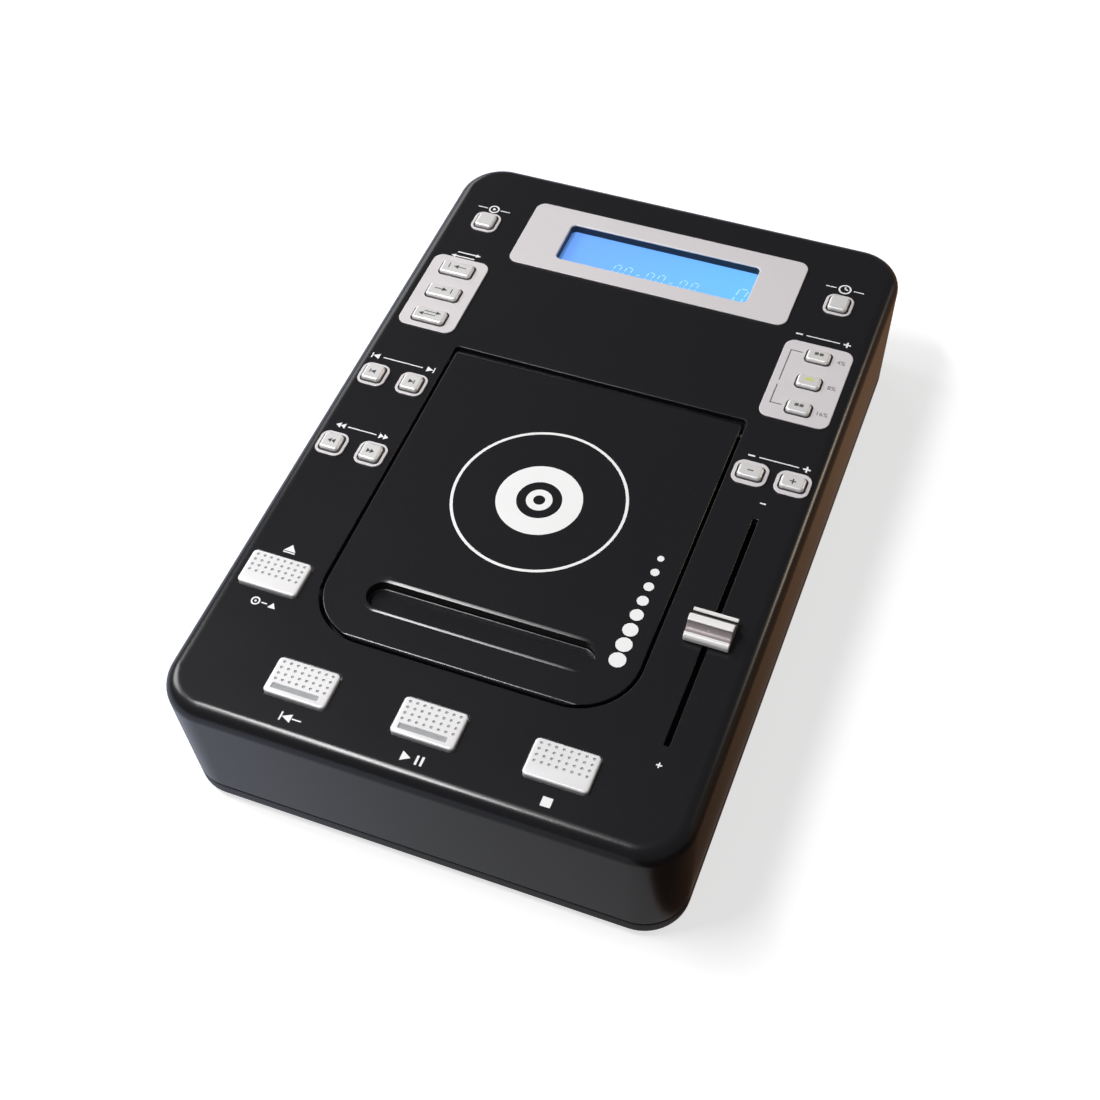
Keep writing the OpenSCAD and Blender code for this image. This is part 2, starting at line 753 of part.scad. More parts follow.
// Stadium-shaped block for the finger recess
module grip_block(w, z0, z1) {
    l = grip_l - grip_w;
    translate([0, grip_y, z0]) linear_extrude(z1 - z0) {
        square([l, w], center = true);
        for (s = [-1, 1]) translate([s * l / 2, 0]) circle(w / 2);
    }
}

module disc_lid() {
    color([0.13, 0.13, 0.14]) difference() {
        union() {
            intersection() {
                translate([0, 0, lid_under]) linear_extrude(lid_t) lid_outline(0);
                along_x(-lid_w, lid_w) polygon(lid_side());
            }
            grip_block(grip_w + 2 * grip_wall, top - grip_deep - grip_wall, lid_under + 0.5);
            for (s = [-1, 1]) {
                x = s > 0 ? knuckle_x : -knuckle_x - knuckle_w;
                translate([x, pivot_y, pivot_z]) rotate([0, 90, 0]) cylinder(r = knuckle_r, h = knuckle_w);
                box([x, pivot_y - 2.2, pivot_z], [x + knuckle_w, pivot_y + 2.2, lid_under + 0.5]);
            }
            // catch that the latch holds down
            box([catch_x, latch_y - 4, latch_z1 - nose_t - 0.3 - catch_lip],
                [catch_x + catch_t, latch_y + 4, lid_under + 0.5]);
            box([nose_tip - 1.3, latch_y - 4, latch_z1 - nose_t - 0.3 - catch_lip],
                [catch_x + 0.5, latch_y + 4, latch_z1 - nose_t - 0.3]);
        }
        grip_block(grip_w, top - grip_deep, top + 1);
        translate([-lid_w, pivot_y, pivot_z]) rotate([0, 90, 0]) cylinder(r = pin_r + run_fit, h = 2 * lid_w);
    }
}

module lid_hinge_pin() {
    l = 2 * (lid_half + lid_gap + well_wall);
    color([0.7, 0.7, 0.72]) translate([-l / 2, pivot_y, pivot_z]) rotate([0, 90, 0]) cylinder(r = pin_r, h = l);
}

// Torsion spring on the hinge pin: one leg under the lid, one on the deck
module lid_spring() {
    turns = 5.25;
    r = pin_r + 0.5;
    wire_r = 0.25;
    x0 = -knuckle_x + 4;
    coil = [
        for (i = [0:16 * turns])
        let (a = 90 - 360 * i / 16)
        [x0 + 0.62 * i / 16, pivot_y + r * cos(a), pivot_z + r * sin(a)]
    ];
    lid_leg = [[x0, pivot_y - 14, pivot_z + r], [x0, pivot_y - 1, pivot_z + r]];
    x1 = coil[len(coil) - 1][0];
    deck_leg = [[x1 + 0.5, pivot_y + r, pivot_z - 1.5], [x1 + 0.6, pivot_y + r, deck_z + wire_r]];
    color([0.65, 0.65, 0.67]) wire(concat(lid_leg, coil, deck_leg), wire_r);
}

// Toothed sector that turns with the lid
module lid_gear() {
    step = 360 / sector_n;
    teeth = [for (k = [-1:7]) each tooth_points(sector_n, sector_turn + k * step)];
    room = lid_under - pivot_z;
    color([0.9, 0.9, 0.88]) difference() {
        union() {
            translate([sector_x, pivot_y, pivot_z]) rotate([90, 0, 90]) linear_extrude(sector_t)
                polygon(concat([[1, 0], [-3, room]], teeth, [[3, -room]]));
            translate([sector_x, pivot_y, pivot_z]) rotate([0, 90, 0]) cylinder(r = room - 0.05, h = sector_t);
            box([sector_x, pivot_y - 8, pivot_z + 0.3], [sector_x + sector_t, pivot_y + 1.6, lid_under]);
        }
        translate([0, pivot_y, pivot_z]) rotate([0, 90, 0]) cylinder(r = pin_r + run_fit, h = lid_w);
    }
}

module damper_body() {
    color([0.2, 0.2, 0.2]) difference() {
        union() {
            translate([damper_x0, damper_y, damper_z]) rotate([0, 90, 0])
                cylinder(r = damper_r, h = damper_x1 - damper_x0);
            box([damper_x0 - 9, damper_y - 4, deck_z], [damper_x0 + 2, damper_y + 4, deck_z + 2]);
        }
        translate([damper_x0 + 2, damper_y, damper_z]) rotate([0, 90, 0]) cylinder(r = 1 + run_fit, h = 20);
    }
}

module damper_pinion() {
    color([0.9, 0.9, 0.88]) {
        translate([sector_x + 0.3, damper_y, damper_z]) rotate([90, 0, 90]) linear_extrude(sector_t - 0.6)
            gear_outline(damper_n, sector_turn + 180 + 180 / damper_n);
        translate([damper_x0 + 2.5, damper_y, damper_z]) rotate([0, 90, 0])
            cylinder(r = 1, h = sector_x + sector_t - 0.5 - damper_x0 - 2.5);
    }
}

// Slanted slot for the key's cross pin, in the plane of X and Z
module cam_slot(r) {
    y0 = latch_y - latch_half - 1;
    l = 2 * latch_half + 2;
    for (s = [0, eject_press])
        translate([eject_x + s, y0, cam_z - s]) rotate([-90, 0, 0]) cylinder(r = r, h = l);
    translate([eject_x, y0, cam_z]) rotate([0, 45, 0]) translate([0, 0, -r])
        cube([eject_press * sqrt(2), l, 2 * r]);
}

module lid_latch() {
    x0 = eject_x - 7;
    x1 = -lid_half - lid_gap - 4;
    color([0.85, 0.85, 0.8]) difference() {
        union() {
            box([x0, latch_y - latch_half, latch_z0], [x1, latch_y + latch_half, latch_z1]);
            box([x1 - 1, latch_y - latch_half + 0.7, latch_z1 - nose_t],
                [nose_tip, latch_y + latch_half - 0.7, latch_z1]);
        }
        box([x0 + 2, latch_y - fork_half, latch_z0 - 1], [eject_x + 8, latch_y + fork_half, latch_z1 + 1]);
        cam_slot(cam_r + cam_fit);
    }
}

module eject_key() {
    color([0.9, 0.9, 0.92]) {
        block(eject_x, eject_y, key_w, key_d, key_r, under - flange_gap - 0.5, top + key_rise);
        block(eject_x, eject_y, key_w + 2 * flange_out, key_d + 2 * flange_out, key_r + flange_out,
              flange_z, under - flange_gap);
        box([eject_x - 2.5, latch_y - 1.6, cam_z - 2.4], [eject_x + 2.5, latch_y + 1.6, flange_z + 0.5]);
        translate([eject_x, latch_y - latch_half + 0.2, cam_z]) rotate([-90, 0, 0])
            cylinder(r = cam_r, h = 2 * latch_half - 0.4);
    }
}

// Compression spring between the shelf and the eject key
module eject_spring() {
    wire_r = 0.35;
    z0 = shelf_z + wire_r;
    z1 = flange_z - wire_r;
    turns = 5;
    coil = [
        for (i = [0:12 * turns])
        let (a = 30 * i)
        [eject_x + 2.6 * cos(a), spring_y + 2.6 * sin(a), z0 + (z1 - z0) * i / (12 * turns)]
    ];
    color([0.65, 0.65, 0.67]) wire(coil, wire_r);
}

// ---- disc mechanism ----

module mech_chassis() {
    color([0.25, 0.25, 0.26]) difference() {
        union() {
            box([chassis_x0, chassis_y0, plate_under], [chassis_x1, chassis_y1, plate_z]);
            for (y = [rod_wall_y0, rod_wall_y1])
                box([-rod_x - 5, y, plate_z - 0.5], [rod_x + 5, y + rod_wall_t, rod_z + 3.5]);
            for (p = posts) rod(p[0], p[1], 4.5, plate_z - 0.5, post_z);
            rod(gear_x, gear_y, 1.4, plate_z - 0.5, wheel_z + 8.6);
            rod(gear_x, gear_y, 3, plate_z - 0.5, wheel_z - 0.1);
        }
        for (s = [-1, 1]) translate([s * rod_x, chassis_y0 - 1, rod_z]) rotate([-90, 0, 0])
            cylinder(r = rod_r + thread_fit, h = chassis_y1 - chassis_y0 + 2);
        rod(drive_x, drive_y, 3.5, plate_under - 1, plate_z + 1);
        for (p = posts) rod(p[0], p[1], screw_r + screw_play, plate_under - 1, post_z + 1);
        block(-8, gear_y - 12, 40, 34, 4, plate_under - 1, plate_z + 0.2);
    }
}

module mech_grommets() {
    color([0.1, 0.1, 0.1]) for (p = posts) difference() {
        rod(p[0], p[1], 4.4, post_z, post_z + grommet_t);
        rod(p[0], p[1], screw_r + screw_play, post_z - 1, post_z + grommet_t + 1);
    }
}

module mech_screws() {
    color([0.75, 0.75, 0.77]) {
        for (b = board_bosses) screw_up(b, board_z - board_t, board_z);
        for (b = well_ears) screw_up(b, deck_z - 1, deck_z + ear_t - 1);
        for (b = fader_ends) screw_up(b, under - fader_h, under - fader_h + 2);
        for (p = posts) screw_up(p, plate_under, post_z + grommet_t - 2);
        for (p = main_posts) screw_down(p, board_floor + board_t, board_floor - bite);
    }
}

module spindle_motor() {
    color([0.72, 0.72, 0.74]) difference() {
        union() {
            rod(0, disc_y, motor_r, plate_z, plate_z + motor_h - 2);
            rod(0, disc_y, 4, plate_z, plate_z + motor_h);
        }
        rod(0, disc_y, 1 + run_fit, plate_z + 3, top);
    }
}

// Platter, hub and shaft in one turned piece
module turntable() {
    color([0.12, 0.12, 0.12]) translate([0, disc_y, 0]) rotate_extrude() polygon([
        [0, plate_z + 4], [1, plate_z + 4], [1, plate_z + motor_h + 0.5], [4, plate_z + motor_h + 0.5],
        [4, disc_z - 2], [platter_r, disc_z - 2], [platter_r, disc_z], [hub_r, disc_z],
        [hub_r, disc_z + 2.8], [hub_r - 1.75, disc_z + 4], [0, disc_z + 4]
    ]);
}

module guide_rods() {
    color([0.8, 0.8, 0.82]) for (s = [-1, 1])
        translate([s * rod_x, rod_wall_y0, rod_z]) rotate([-90, 0, 0])
            cylinder(r = rod_r, h = rod_wall_y1 - rod_wall_y0 + rod_wall_t);
}

// Toothed edge of the sled: a rack whose teeth point to +X
module rack() {
    pitch = PI * tooth;
    half = pitch / 4 - mesh_play;
    slope = tan(pressure) * tooth;
    y0 = gear_y;
    points = [
        for (k = [-1:14])
        each [
            [rack_x - tooth, y0 + (k + 0.5) * pitch - half - slope],
            [rack_x + 0.8 * tooth, y0 + (k + 0.5) * pitch - half + 0.8 * slope],
            [rack_x + 0.8 * tooth, y0 + (k + 0.5) * pitch + half - 0.8 * slope],
            [rack_x - tooth, y0 + (k + 0.5) * pitch + half + slope]
        ]
    ];
    last = points[len(points) - 1][1];
    translate([0, 0, sled_z0 + 1]) linear_extrude(3.5)
        polygon(concat([[sled_x - 1, points[0][1]]], points, [[sled_x - 1, last]]));
}

module pickup_sled() {
    color([0.3, 0.3, 0.31]) difference() {
        union() {
            box([-sled_x, sled_y0, sled_z0], [sled_x, sled_y1, sled_z1]);
            box([-9, lens_y - 8, sled_z1 - 0.5], [9, lens_y + 8, cup_under - 0.2]);
            rack();
        }
        for (s = [-1, 1]) translate([s * rod_x, sled_y0 - 1, rod_z]) rotate([-90, 0, 0])
            cylinder(r = rod_r + run_fit, h = sled_y1 - sled_y0 + 2);
        box([-15, sled_y0 + 3, sled_z0 - 1], [15, lens_y - 11, sled_z1 + 1]);
    }
}

module pickup_lens() {
    color([0.35, 0.25, 0.6]) rod(0, lens_y, 3.2, cup_under - 0.2, disc_z - 3);
}

module sled_motor() {
    color([0.72, 0.72, 0.74]) difference() {
        union() {
            rod(drive_x, drive_y, 10, plate_under - 14, plate_under);
            rod(drive_x, drive_y, 3.2, plate_under, plate_z + 0.2);
        }
        rod(drive_x, drive_y, 1 + run_fit, plate_under - 10, plate_z + 1);
    }
}

module motor_pinion() {
    color([0.85, 0.8, 0.6]) {
        translate([drive_x, drive_y, wheel_z]) linear_extrude(wheel_t)
            gear_outline(pinion_n, drive_turn + 180 + 180 / pinion_n);
        rod(drive_x, drive_y, 1, plate_under - 9, wheel_z);
    }
}

module sled_gear() {
    color([0.9, 0.9, 0.88]) difference() {
        union() {
            translate([gear_x, gear_y, wheel_z]) linear_extrude(wheel_t) gear_outline(wheel_n, drive_turn);
            translate([gear_x, gear_y, wheel_z + wheel_t]) linear_extrude(5.4) gear_outline(small_n, 180);
        }
        rod(gear_x, gear_y, 1.4 + run_fit, plate_z, disc_z);
    }
}

// ---- display and trim ----

module display_bezel() {
    color([0.83, 0.82, 0.83]) difference() {
        union() {
            block(0, display_y, display_w, display_d, plate_r, top, top + plate_t);
            block(0, window_y, window_w + 1.8, window_d + 1.8, 3, top - glass_drop, top + plate_t);
        }
        block(0, window_y, window_w, window_d, 2.5, top - glass_drop - 1, top + plate_t + 1);
    }
}

module lcd_panel() {
    z = top - glass_drop;
    color([0.35, 0.6, 1]) block(0, window_y, window_w + 7.5, window_d + 7.4, 1, z - 2.8, z);
}

module display_board() {
    color([0.1, 0.35, 0.2]) difference() {
        block(0, window_y, window_w + 34, window_d + 12, 1, board_z - board_t, board_z);
        for (b = display_bosses) rod(b[0], b[1], screw_r + screw_play, 0, top);
    }
    color([0.15, 0.15, 0.15])
        block(0, window_y, window_w + 9, window_d + 9, 1, board_z, top - glass_drop - 2.8);
}

// Silver surround with openings for its caps
module surround(x, y, w, d, r, places, cw, cd, t) {
    color([0.83, 0.82, 0.83]) difference() {
        block(x, y, w, d, r, top, top + t);
        for (p = places)
            block(p[0], p[1], cw + 2 * cap_fit, cd + 2 * cap_fit, cap_r + cap_fit, top - 1, top + t + 1);
    }
}

module loop_plate() {
    surround(left_x, row_y + 0.45, loop_plate_w, side_plate_d, plate_r,
             loop_places, loop_cap_w, loop_cap_d, plate_t);
}

module pitch_plate() {
    surround(right_x - 0.4, row_y + 0.2, pitch_plate_w, side_plate_d, plate_r,
             pitch_places, pitch_cap_w, pitch_cap_d, plate_t);
}

module button_rings() {
    for (p = square_places) surround(p[0], p[1], ring_w, ring_w, 4, [p], square_cap, square_cap, plate_t);
    for (p = bend_places) surround(p[0], p[1], bend_ring_w, ring_w, 4.4, [p], bend_cap_w, bend_cap_d, plate_t);
}

// ---- boards and switches ----

module panel_boards() {
    edge = half_w - 7;
    well_side = lid_half + lid_gap + well_wall;
    color([0.1, 0.35, 0.2]) difference() {
        union() {
            box([-edge, search_y - board_edge, board_z - board_t],
                [-well_side - 1.8, corner_button_y + board_edge, board_z]);
            box([well_side + 2, skip_y - 7, board_z - board_t], [edge, corner_button_y + board_edge, board_z]);
            box([play_x - key_gap - 12, front_key_y - 9, board_z - board_t],
                [play_x + key_gap + 12, front_key_y + 11, board_z]);
        }
        for (b = concat(left_bosses, right_bosses, front_bosses)) rod(b[0], b[1], screw_r + screw_play, 0, top);
    }
}

switch_places = concat(square_places, bend_places, loop_places, pitch_places, front_places);

module panel_switches() {
    color([0.15, 0.15, 0.15]) for (p = switch_places) difference() {
        box([p[0] - switch_w / 2, p[1] - switch_w / 2, board_z],
            [p[0] + switch_w / 2, p[1] + switch_w / 2, board_z + switch_h]);
        rod(p[0], p[1], stem_r + stem_fit, board_z + switch_floor, top);
    }
}

// ---- buttons ----

// Cap with a flange that stays under the panel and a stem that reaches into its switch
module push_cap(at, w, d, r, z_top) {
    block(at[0], at[1], w, d, r, under - flange_gap - 0.5, z_top);
    block(at[0], at[1], w + 2 * flange_out, d + 2 * flange_out, r + flange_out, flange_z, under - flange_gap);
    rod(at[0], at[1], stem_r, stem_end, flange_z + 0.5);
}

module small_button(at, w, d) {
    color([0.85, 0.85, 0.86]) push_cap(at, w, d, cap_r, cap_top);
}

module front_key(at) {
    color([0.9, 0.9, 0.92]) push_cap(at, key_w, key_d, key_r, top + key_rise);
}

module single_button() small_button(square_places[0], square_cap, square_cap);
module time_button() small_button(square_places[1], square_cap, square_cap);
module skip_back_button() small_button(square_places[2], square_cap, square_cap);
module skip_forward_button() small_button(square_places[3], square_cap, square_cap);
module search_back_button() small_button(square_places[4], square_cap, square_cap);
module search_forward_button() small_button(square_places[5], square_cap, square_cap);
module loop_in_button() small_button(loop_places[0], loop_cap_w, loop_cap_d);
module loop_out_button() small_button(loop_places[1], loop_cap_w, loop_cap_d);
module reloop_button() small_button(loop_places[2], loop_cap_w, loop_cap_d);
module pitch_4_button() small_button(pitch_places[0], pitch_cap_w, pitch_cap_d);
module pitch_8_button() small_button(pitch_places[1], pitch_cap_w, pitch_cap_d);
module pitch_16_button() small_button(pitch_places[2], pitch_cap_w, pitch_cap_d);
module bend_minus_button() small_button(bend_places[0], bend_cap_w, bend_cap_d);
module bend_plus_button() small_button(bend_places[1], bend_cap_w, bend_cap_d);
module cue_key() front_key(front_places[0]);
module play_key() front_key(front_places[1]);
module stop_key() front_key(front_places[2]);

// ---- fader ----

module fader_body() {
    z0 = under - fader_h;
    color([0.6, 0.6, 0.62]) difference() {
        union() {
            box([slot_x - fader_w / 2, fader_y - fader_l / 2, z0],
                [slot_x + fader_w / 2, fader_y + fader_l / 2, under]);
            for (e = fader_ends) rod(e[0], e[1], boss_r + 0.6, z0, z0 + 2);
            box([slot_x - 3, fader_y - fader_end, z0], [slot_x + 3, fader_y + fader_end, z0 + 2]);
        }
        box([slot_x - fader_w / 2 + fader_wall, fader_y - fader_l / 2 + fader_wall, z0 + fader_wall],
            [slot_x + fader_w / 2 - fader_wall, fader_y + fader_l / 2 - fader_wall, under - fader_wall]);
        box([slot_x - slot_w / 2, fader_y - slot_l / 2, z0 + fader_wall],
            [slot_x + slot_w / 2, fader_y + slot_l / 2, under + 1]);
        for (e = fader_ends) rod(e[0], e[1], screw_r + screw_play, 0, top);
    }
}

module fader_carriage() {
    z0 = under - fader_h + fader_wall + slide_fit;
    z1 = under - fader_wall - slide_fit;
    w = fader_w - 2 * fader_wall - 2 * slide_fit;
    color([0.8, 0.8, 0.82]) {
        box([slot_x - w / 2, fader_rest - foot_l / 2, z0], [slot_x + w / 2, fader_rest + foot_l / 2, z1]);
        box([slot_x - blade_t / 2, fader_rest - blade_l / 2, z1 - 0.5],
            [slot_x + blade_t / 2, fader_rest + blade_l / 2, top + knob_gap + knob_h - 2.5]);
    }
}

// Side view of the knob: low lips at both ends, hollow flanks and a raised middle
module fader_knob() {
    z0 = top + knob_gap;
    ridge = 1.75;
    lip_z = 3.5;
    lip_y = knob_d / 2 - 2.3;
    rise = knob_h - lip_z;
    run = lip_y - ridge;
    flank = [for (a = [90:-15:0]) [ridge + run * (1 - cos(a)), knob_h - rise * sin(a)]];
    front = concat([[-knob_d / 2, 0], [-knob_d / 2, lip_z - 0.6], [-knob_d / 2 + 0.6, lip_z]],
                   [for (p = flank) [-p[0], p[1]]]);
    rear = [for (i = [len(front) - 1:-1:0]) [-front[i][0], front[i][1]]];
    color([0.8, 0.8, 0.82]) difference() {
        translate([0, fader_rest, z0]) along_x(slot_x - knob_w / 2, slot_x + knob_w / 2)
            polygon(concat(front, rear));
        box([slot_x - blade_t / 2, fader_rest - blade_l / 2, z0 - 1],
            [slot_x + blade_t / 2, fader_rest + blade_l / 2, top + knob_gap + knob_h - 2.5]);
    }
}

// ---- electronics and sockets ----

module main_board() {
    z = board_floor + board_t;
    color([0.1, 0.35, 0.2]) difference() {
        block(main_x, main_y, main_w, main_d, 1, board_floor, z);
        for (p = main_posts) rod(p[0], p[1], screw_r + screw_play, board_floor - 1, z + 1);
    }
    color([0.1, 0.1, 0.1]) {
        box([main_x - main_w / 4, main_y - main_d / 8, z], [main_x - main_w / 11, main_y + main_d / 40, z + chip_t]);
        box([main_x + main_w / 26, main_y + main_d / 8, z], [main_x + main_w / 7, main_y + main_d / 4, z + chip_t]);
        box([main_x - main_w / 3, main_y + main_d / 5, z], [main_x - main_w / 6, main_y + main_d / 4, z + chip_t]);
    }
    color([0.15, 0.2, 0.45]) for (k = [0:3])
        rod(main_x + main_w / 4 + 2.6 * cap_can_r * (k % 2), main_y - main_d / 3 + 2.9 * cap_can_r * floor(k / 2),
            cap_can_r, z, z + cap_can_h);
    color([0.9, 0.9, 0.85]) for (k = [0:2])
        translate([main_x + (k - 1.5) * main_w / 4.3, main_y - main_d / 2 + 4, z]) cube([plug_w, plug_d, plug_d]);
}

module transformer() {
    x = left_x + coil_w;
    y = half_d - core_rear;
    z = foot_h + floor_t;
    color([0.35, 0.35, 0.36]) {
        box([x - core_w / 2, y - core_d / 2, z], [x + core_w / 2, y + core_d / 2, z + core_h]);
        for (s = [-1, 1]) translate([x + s * (core_w + core_lug) / 2 - core_lug / 2, y - core_d / 2, z])
            cube([core_lug, core_d, floor_t]);
    }
    color([0.75, 0.65, 0.3]) for (d = [-core_d / 2 - coil_d, core_d / 2])
        box([x - coil_w / 2, y + d, z + coil_in], [x + coil_w / 2, y + d + coil_d, z + core_h - coil_in]);
}

module mains_inlet() {
    y0 = bay_y0 - 12;
    y1 = bay_y0 + bay_t + 2;
    color([0.08, 0.08, 0.08]) difference() {
        union() {
            box([inlet_x - 11.9, y0, socket_z - 7.9], [inlet_x + 11.9, bay_y0 + bay_t, socket_z + 7.9]);
            box([inlet_x - 14, bay_y0 + bay_t, socket_z - 10], [inlet_x + 14, y1, socket_z + 10]);
        }
        translate([inlet_x, y0 + 2, socket_z]) rotate([-90, 0, 0]) linear_extrude(20) round_rect(20.6, 9, 4.4);
    }
    color([0.85, 0.75, 0.4]) for (s = [-1, 1])
        translate([inlet_x + s * 4.3, y0 + 2, socket_z]) rotate([-90, 0, 0]) cylinder(r = 1.2, h = 9);
}

module power_switch() {
    color([0.08, 0.08, 0.08]) difference() {
        union() {
            box([rocker_x - 9.9, bay_y0 - 14, socket_z - 6.9], [rocker_x + 9.9, bay_y0 + bay_t, socket_z + 6.9]);
            box([rocker_x - 11, bay_y0 + bay_t, socket_z - 8], [rocker_x + 11, bay_y0 + bay_t + 1.5, socket_z + 8]);
        }
        box([rocker_x - 8.4, bay_y0 - 8, socket_z - 5.9], [rocker_x + 8.4, bay_y0 + 10, socket_z + 5.9]);
        translate([rocker_x - 9.5, bay_y0 - 2, socket_z]) rotate([0, 90, 0]) cylinder(r = 1 + run_fit, h = 19);
    }
}

module power_rocker() {
    r = 8.6;
    color([0.12, 0.12, 0.12]) translate([rocker_x, bay_y0 - 2, socket_z]) rotate([rocker_tilt, 0, 0]) {
        intersection() {
            box([-8, -1.5, -5.2], [8, 7, 5.2]);
            translate([-8, -2.8, 0]) rotate([0, 90, 0]) cylinder(r = r, h = 16);
        }
        translate([-9.4, 0, 0]) rotate([0, 90, 0]) cylinder(r = 1, h = 18.8);
    }
}

// Socket body behind the panel with its barrel in front
module phono(x) {
    difference() {
        union() {
            box([x - 6, bay_y0 - 10, socket_z - 8], [x + 6, bay_y0, socket_z + 6]);
            translate([x, bay_y0 - 1, socket_z]) rotate([-90, 0, 0]) cylinder(r = 4.9, h = bay_t + 2);
            translate([x, bay_y0, socket_z]) rotate([-90, 0, 0]) cylinder(r = phono_r, h = bay_t + phono_l);
        }
        translate([x, bay_y0 - 6, socket_z]) rotate([-90, 0, 0]) cylinder(r = 1.6, h = 30);
    }
}

module audio_jacks() {
    color([0.75, 0.75, 0.77]) for (x = phono_x) phono(x);
    color([0.08, 0.08, 0.08]) difference() {
        union() {
            box([start_x - 5, bay_y0 - 12, socket_z - 6], [start_x + 5, bay_y0, socket_z + 6]);
            translate([start_x, bay_y0 - 1, socket_z]) rotate([-90, 0, 0]) cylinder(r = 3.9, h = bay_t + 3.5);
        }
        translate([start_x, bay_y0 - 10, socket_z]) rotate([-90, 0, 0]) cylinder(r = start_r, h = 30);
    }
}

top_cover();
bottom_pan();
rubber_feet();
case_screws();
connector_bay();
mains_plate();
jack_plate();
disc_well();
disc_lid();
lid_hinge_pin();
lid_spring();
lid_gear();
damper_body();
damper_pinion();
lid_latch();
eject_spring();
mech_chassis();
mech_grommets();
mech_screws();
spindle_motor();
turntable();
guide_rods();
pickup_sled();
pickup_lens();
sled_motor();
motor_pinion();
sled_gear();
display_bezel();
lcd_panel();
display_board();
loop_plate();
pitch_plate();
button_rings();
panel_boards();
panel_switches();
fader_body();
fader_carriage();
fader_knob();
main_board();
transformer();
mains_inlet();
power_switch();
power_rocker();
audio_jacks();
single_button();
loop_in_button();
loop_out_button();
reloop_button();
skip_back_button();
skip_forward_button();
search_back_button();
search_forward_button();
time_button();
pitch_4_button();
pitch_8_button();
pitch_16_button();
bend_minus_button();
bend_plus_button();
eject_key();
cue_key();
play_key();
stop_key();
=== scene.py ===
# %% [markdown]
# # A tabletop disc player, dressed in Blender
#
# The solids of this player come from a CAD file: a flat black case, a hinged disc lid, silver
# plates and rings, eighteen buttons and keys, a long fader, and the mechanism under the lid.
# They have the right sizes but plain, razor-sharp edges and one colour each.
# This lesson gives every piece softened edges, small details and a finish made from shader nodes.
#
# Everything is in metres, and X is to the right, Y to the rear and Z up.

# %% Load the frame
import json
import math

import bmesh
import bpy
import numpy as np
from mathutils import Matrix, Vector
from mathutils.bvhtree import BVHTree

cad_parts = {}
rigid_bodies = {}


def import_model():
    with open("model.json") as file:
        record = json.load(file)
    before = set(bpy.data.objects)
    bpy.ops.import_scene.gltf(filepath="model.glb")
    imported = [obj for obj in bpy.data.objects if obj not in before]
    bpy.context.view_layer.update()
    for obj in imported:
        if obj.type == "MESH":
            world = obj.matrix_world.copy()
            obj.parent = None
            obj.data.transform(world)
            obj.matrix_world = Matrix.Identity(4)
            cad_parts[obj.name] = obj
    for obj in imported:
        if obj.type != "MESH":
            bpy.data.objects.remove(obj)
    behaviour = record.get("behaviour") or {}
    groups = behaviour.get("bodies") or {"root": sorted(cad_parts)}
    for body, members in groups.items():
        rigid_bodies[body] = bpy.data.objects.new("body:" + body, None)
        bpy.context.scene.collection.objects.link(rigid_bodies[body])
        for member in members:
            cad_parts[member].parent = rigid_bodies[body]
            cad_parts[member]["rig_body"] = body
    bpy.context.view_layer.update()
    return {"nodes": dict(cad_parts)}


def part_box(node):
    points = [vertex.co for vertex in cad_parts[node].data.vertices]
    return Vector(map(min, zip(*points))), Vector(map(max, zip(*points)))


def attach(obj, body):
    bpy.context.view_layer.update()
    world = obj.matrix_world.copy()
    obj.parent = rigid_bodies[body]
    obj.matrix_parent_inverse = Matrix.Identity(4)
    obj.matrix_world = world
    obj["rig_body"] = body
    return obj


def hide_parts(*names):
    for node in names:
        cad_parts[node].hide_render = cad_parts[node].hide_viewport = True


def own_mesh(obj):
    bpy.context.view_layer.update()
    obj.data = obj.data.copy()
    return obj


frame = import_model()
nodes = frame["nodes"]
body_of_node = {n: o["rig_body"] for n, o in nodes.items()}
MM = 0.001

# %% [markdown]
# ## Where things are
#
# A piece of detail sits on the solid that carries it, so its place is read from that solid's box
# and isn't typed in again. `middle` gives the centre of a node's box and `top_of` its highest point.
# Sizes in this lesson are written in millimetres and turned into metres once.


# %% Places read from the solids
def middle(node):
    low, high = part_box(node)
    return (low + high) / 2


def top_of(node):
    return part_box(node)[1].z


CASE_TOP = top_of("top_cover")
KEYS = ["eject_key", "cue_key", "play_key", "stop_key"]
BUTTONS = sorted(n for n in nodes if n.endswith("_button"))
disc_axis = middle("turntable")
print("case top at", round(CASE_TOP / MM, 2), "mm,", len(BUTTONS), "buttons")

# %% [markdown]
# ## Short words for node trees
#
# A node tree in a script is mostly two things: a new node, and what goes into its sockets. `add_node`
# does both at once. An input that is given another node's socket is joined to it, and any other value
# is typed into the socket. The rest of this cell names the few nodes that come up again and again.


# %% Helpers for node trees
def join(tree, a, b):
    tree.links.new(a, b)


def add_node(tree, kind, inputs=(), **settings):
    node = tree.nodes.new(kind)
    for label, value in settings.items():
        setattr(node, label, value)
    for label, value in dict(inputs).items():
        if isinstance(value, bpy.types.NodeSocket):
            join(tree, value, node.inputs[label])
        else:
            node.inputs[label].default_value = value
    return node


def math_node(tree, operation, *values, clamp=False):
    inputs = enumerate(values)
    return add_node(tree, "ShaderNodeMath", inputs, operation=operation, use_clamp=clamp).outputs[0]


def noise(tree, vector, scale, detail):
    inputs = {"Vector": vector, "Scale": scale, "Detail": detail}
    return add_node(tree, "ShaderNodeTexNoise", inputs).outputs["Fac"]


def object_place(tree):
    return add_node(tree, "ShaderNodeTexCoord").outputs["Object"]


def split_axes(tree, vector):
    return add_node(tree, "ShaderNodeSeparateXYZ", {0: vector}).outputs


def map_range(tree, value, start, end, low=0.0, high=1.0):
    inputs = {"Value": value, "From Min": start, "From Max": end, "To Min": low, "To Max": high}
    return add_node(tree, "ShaderNodeMapRange", inputs).outputs["Result"]


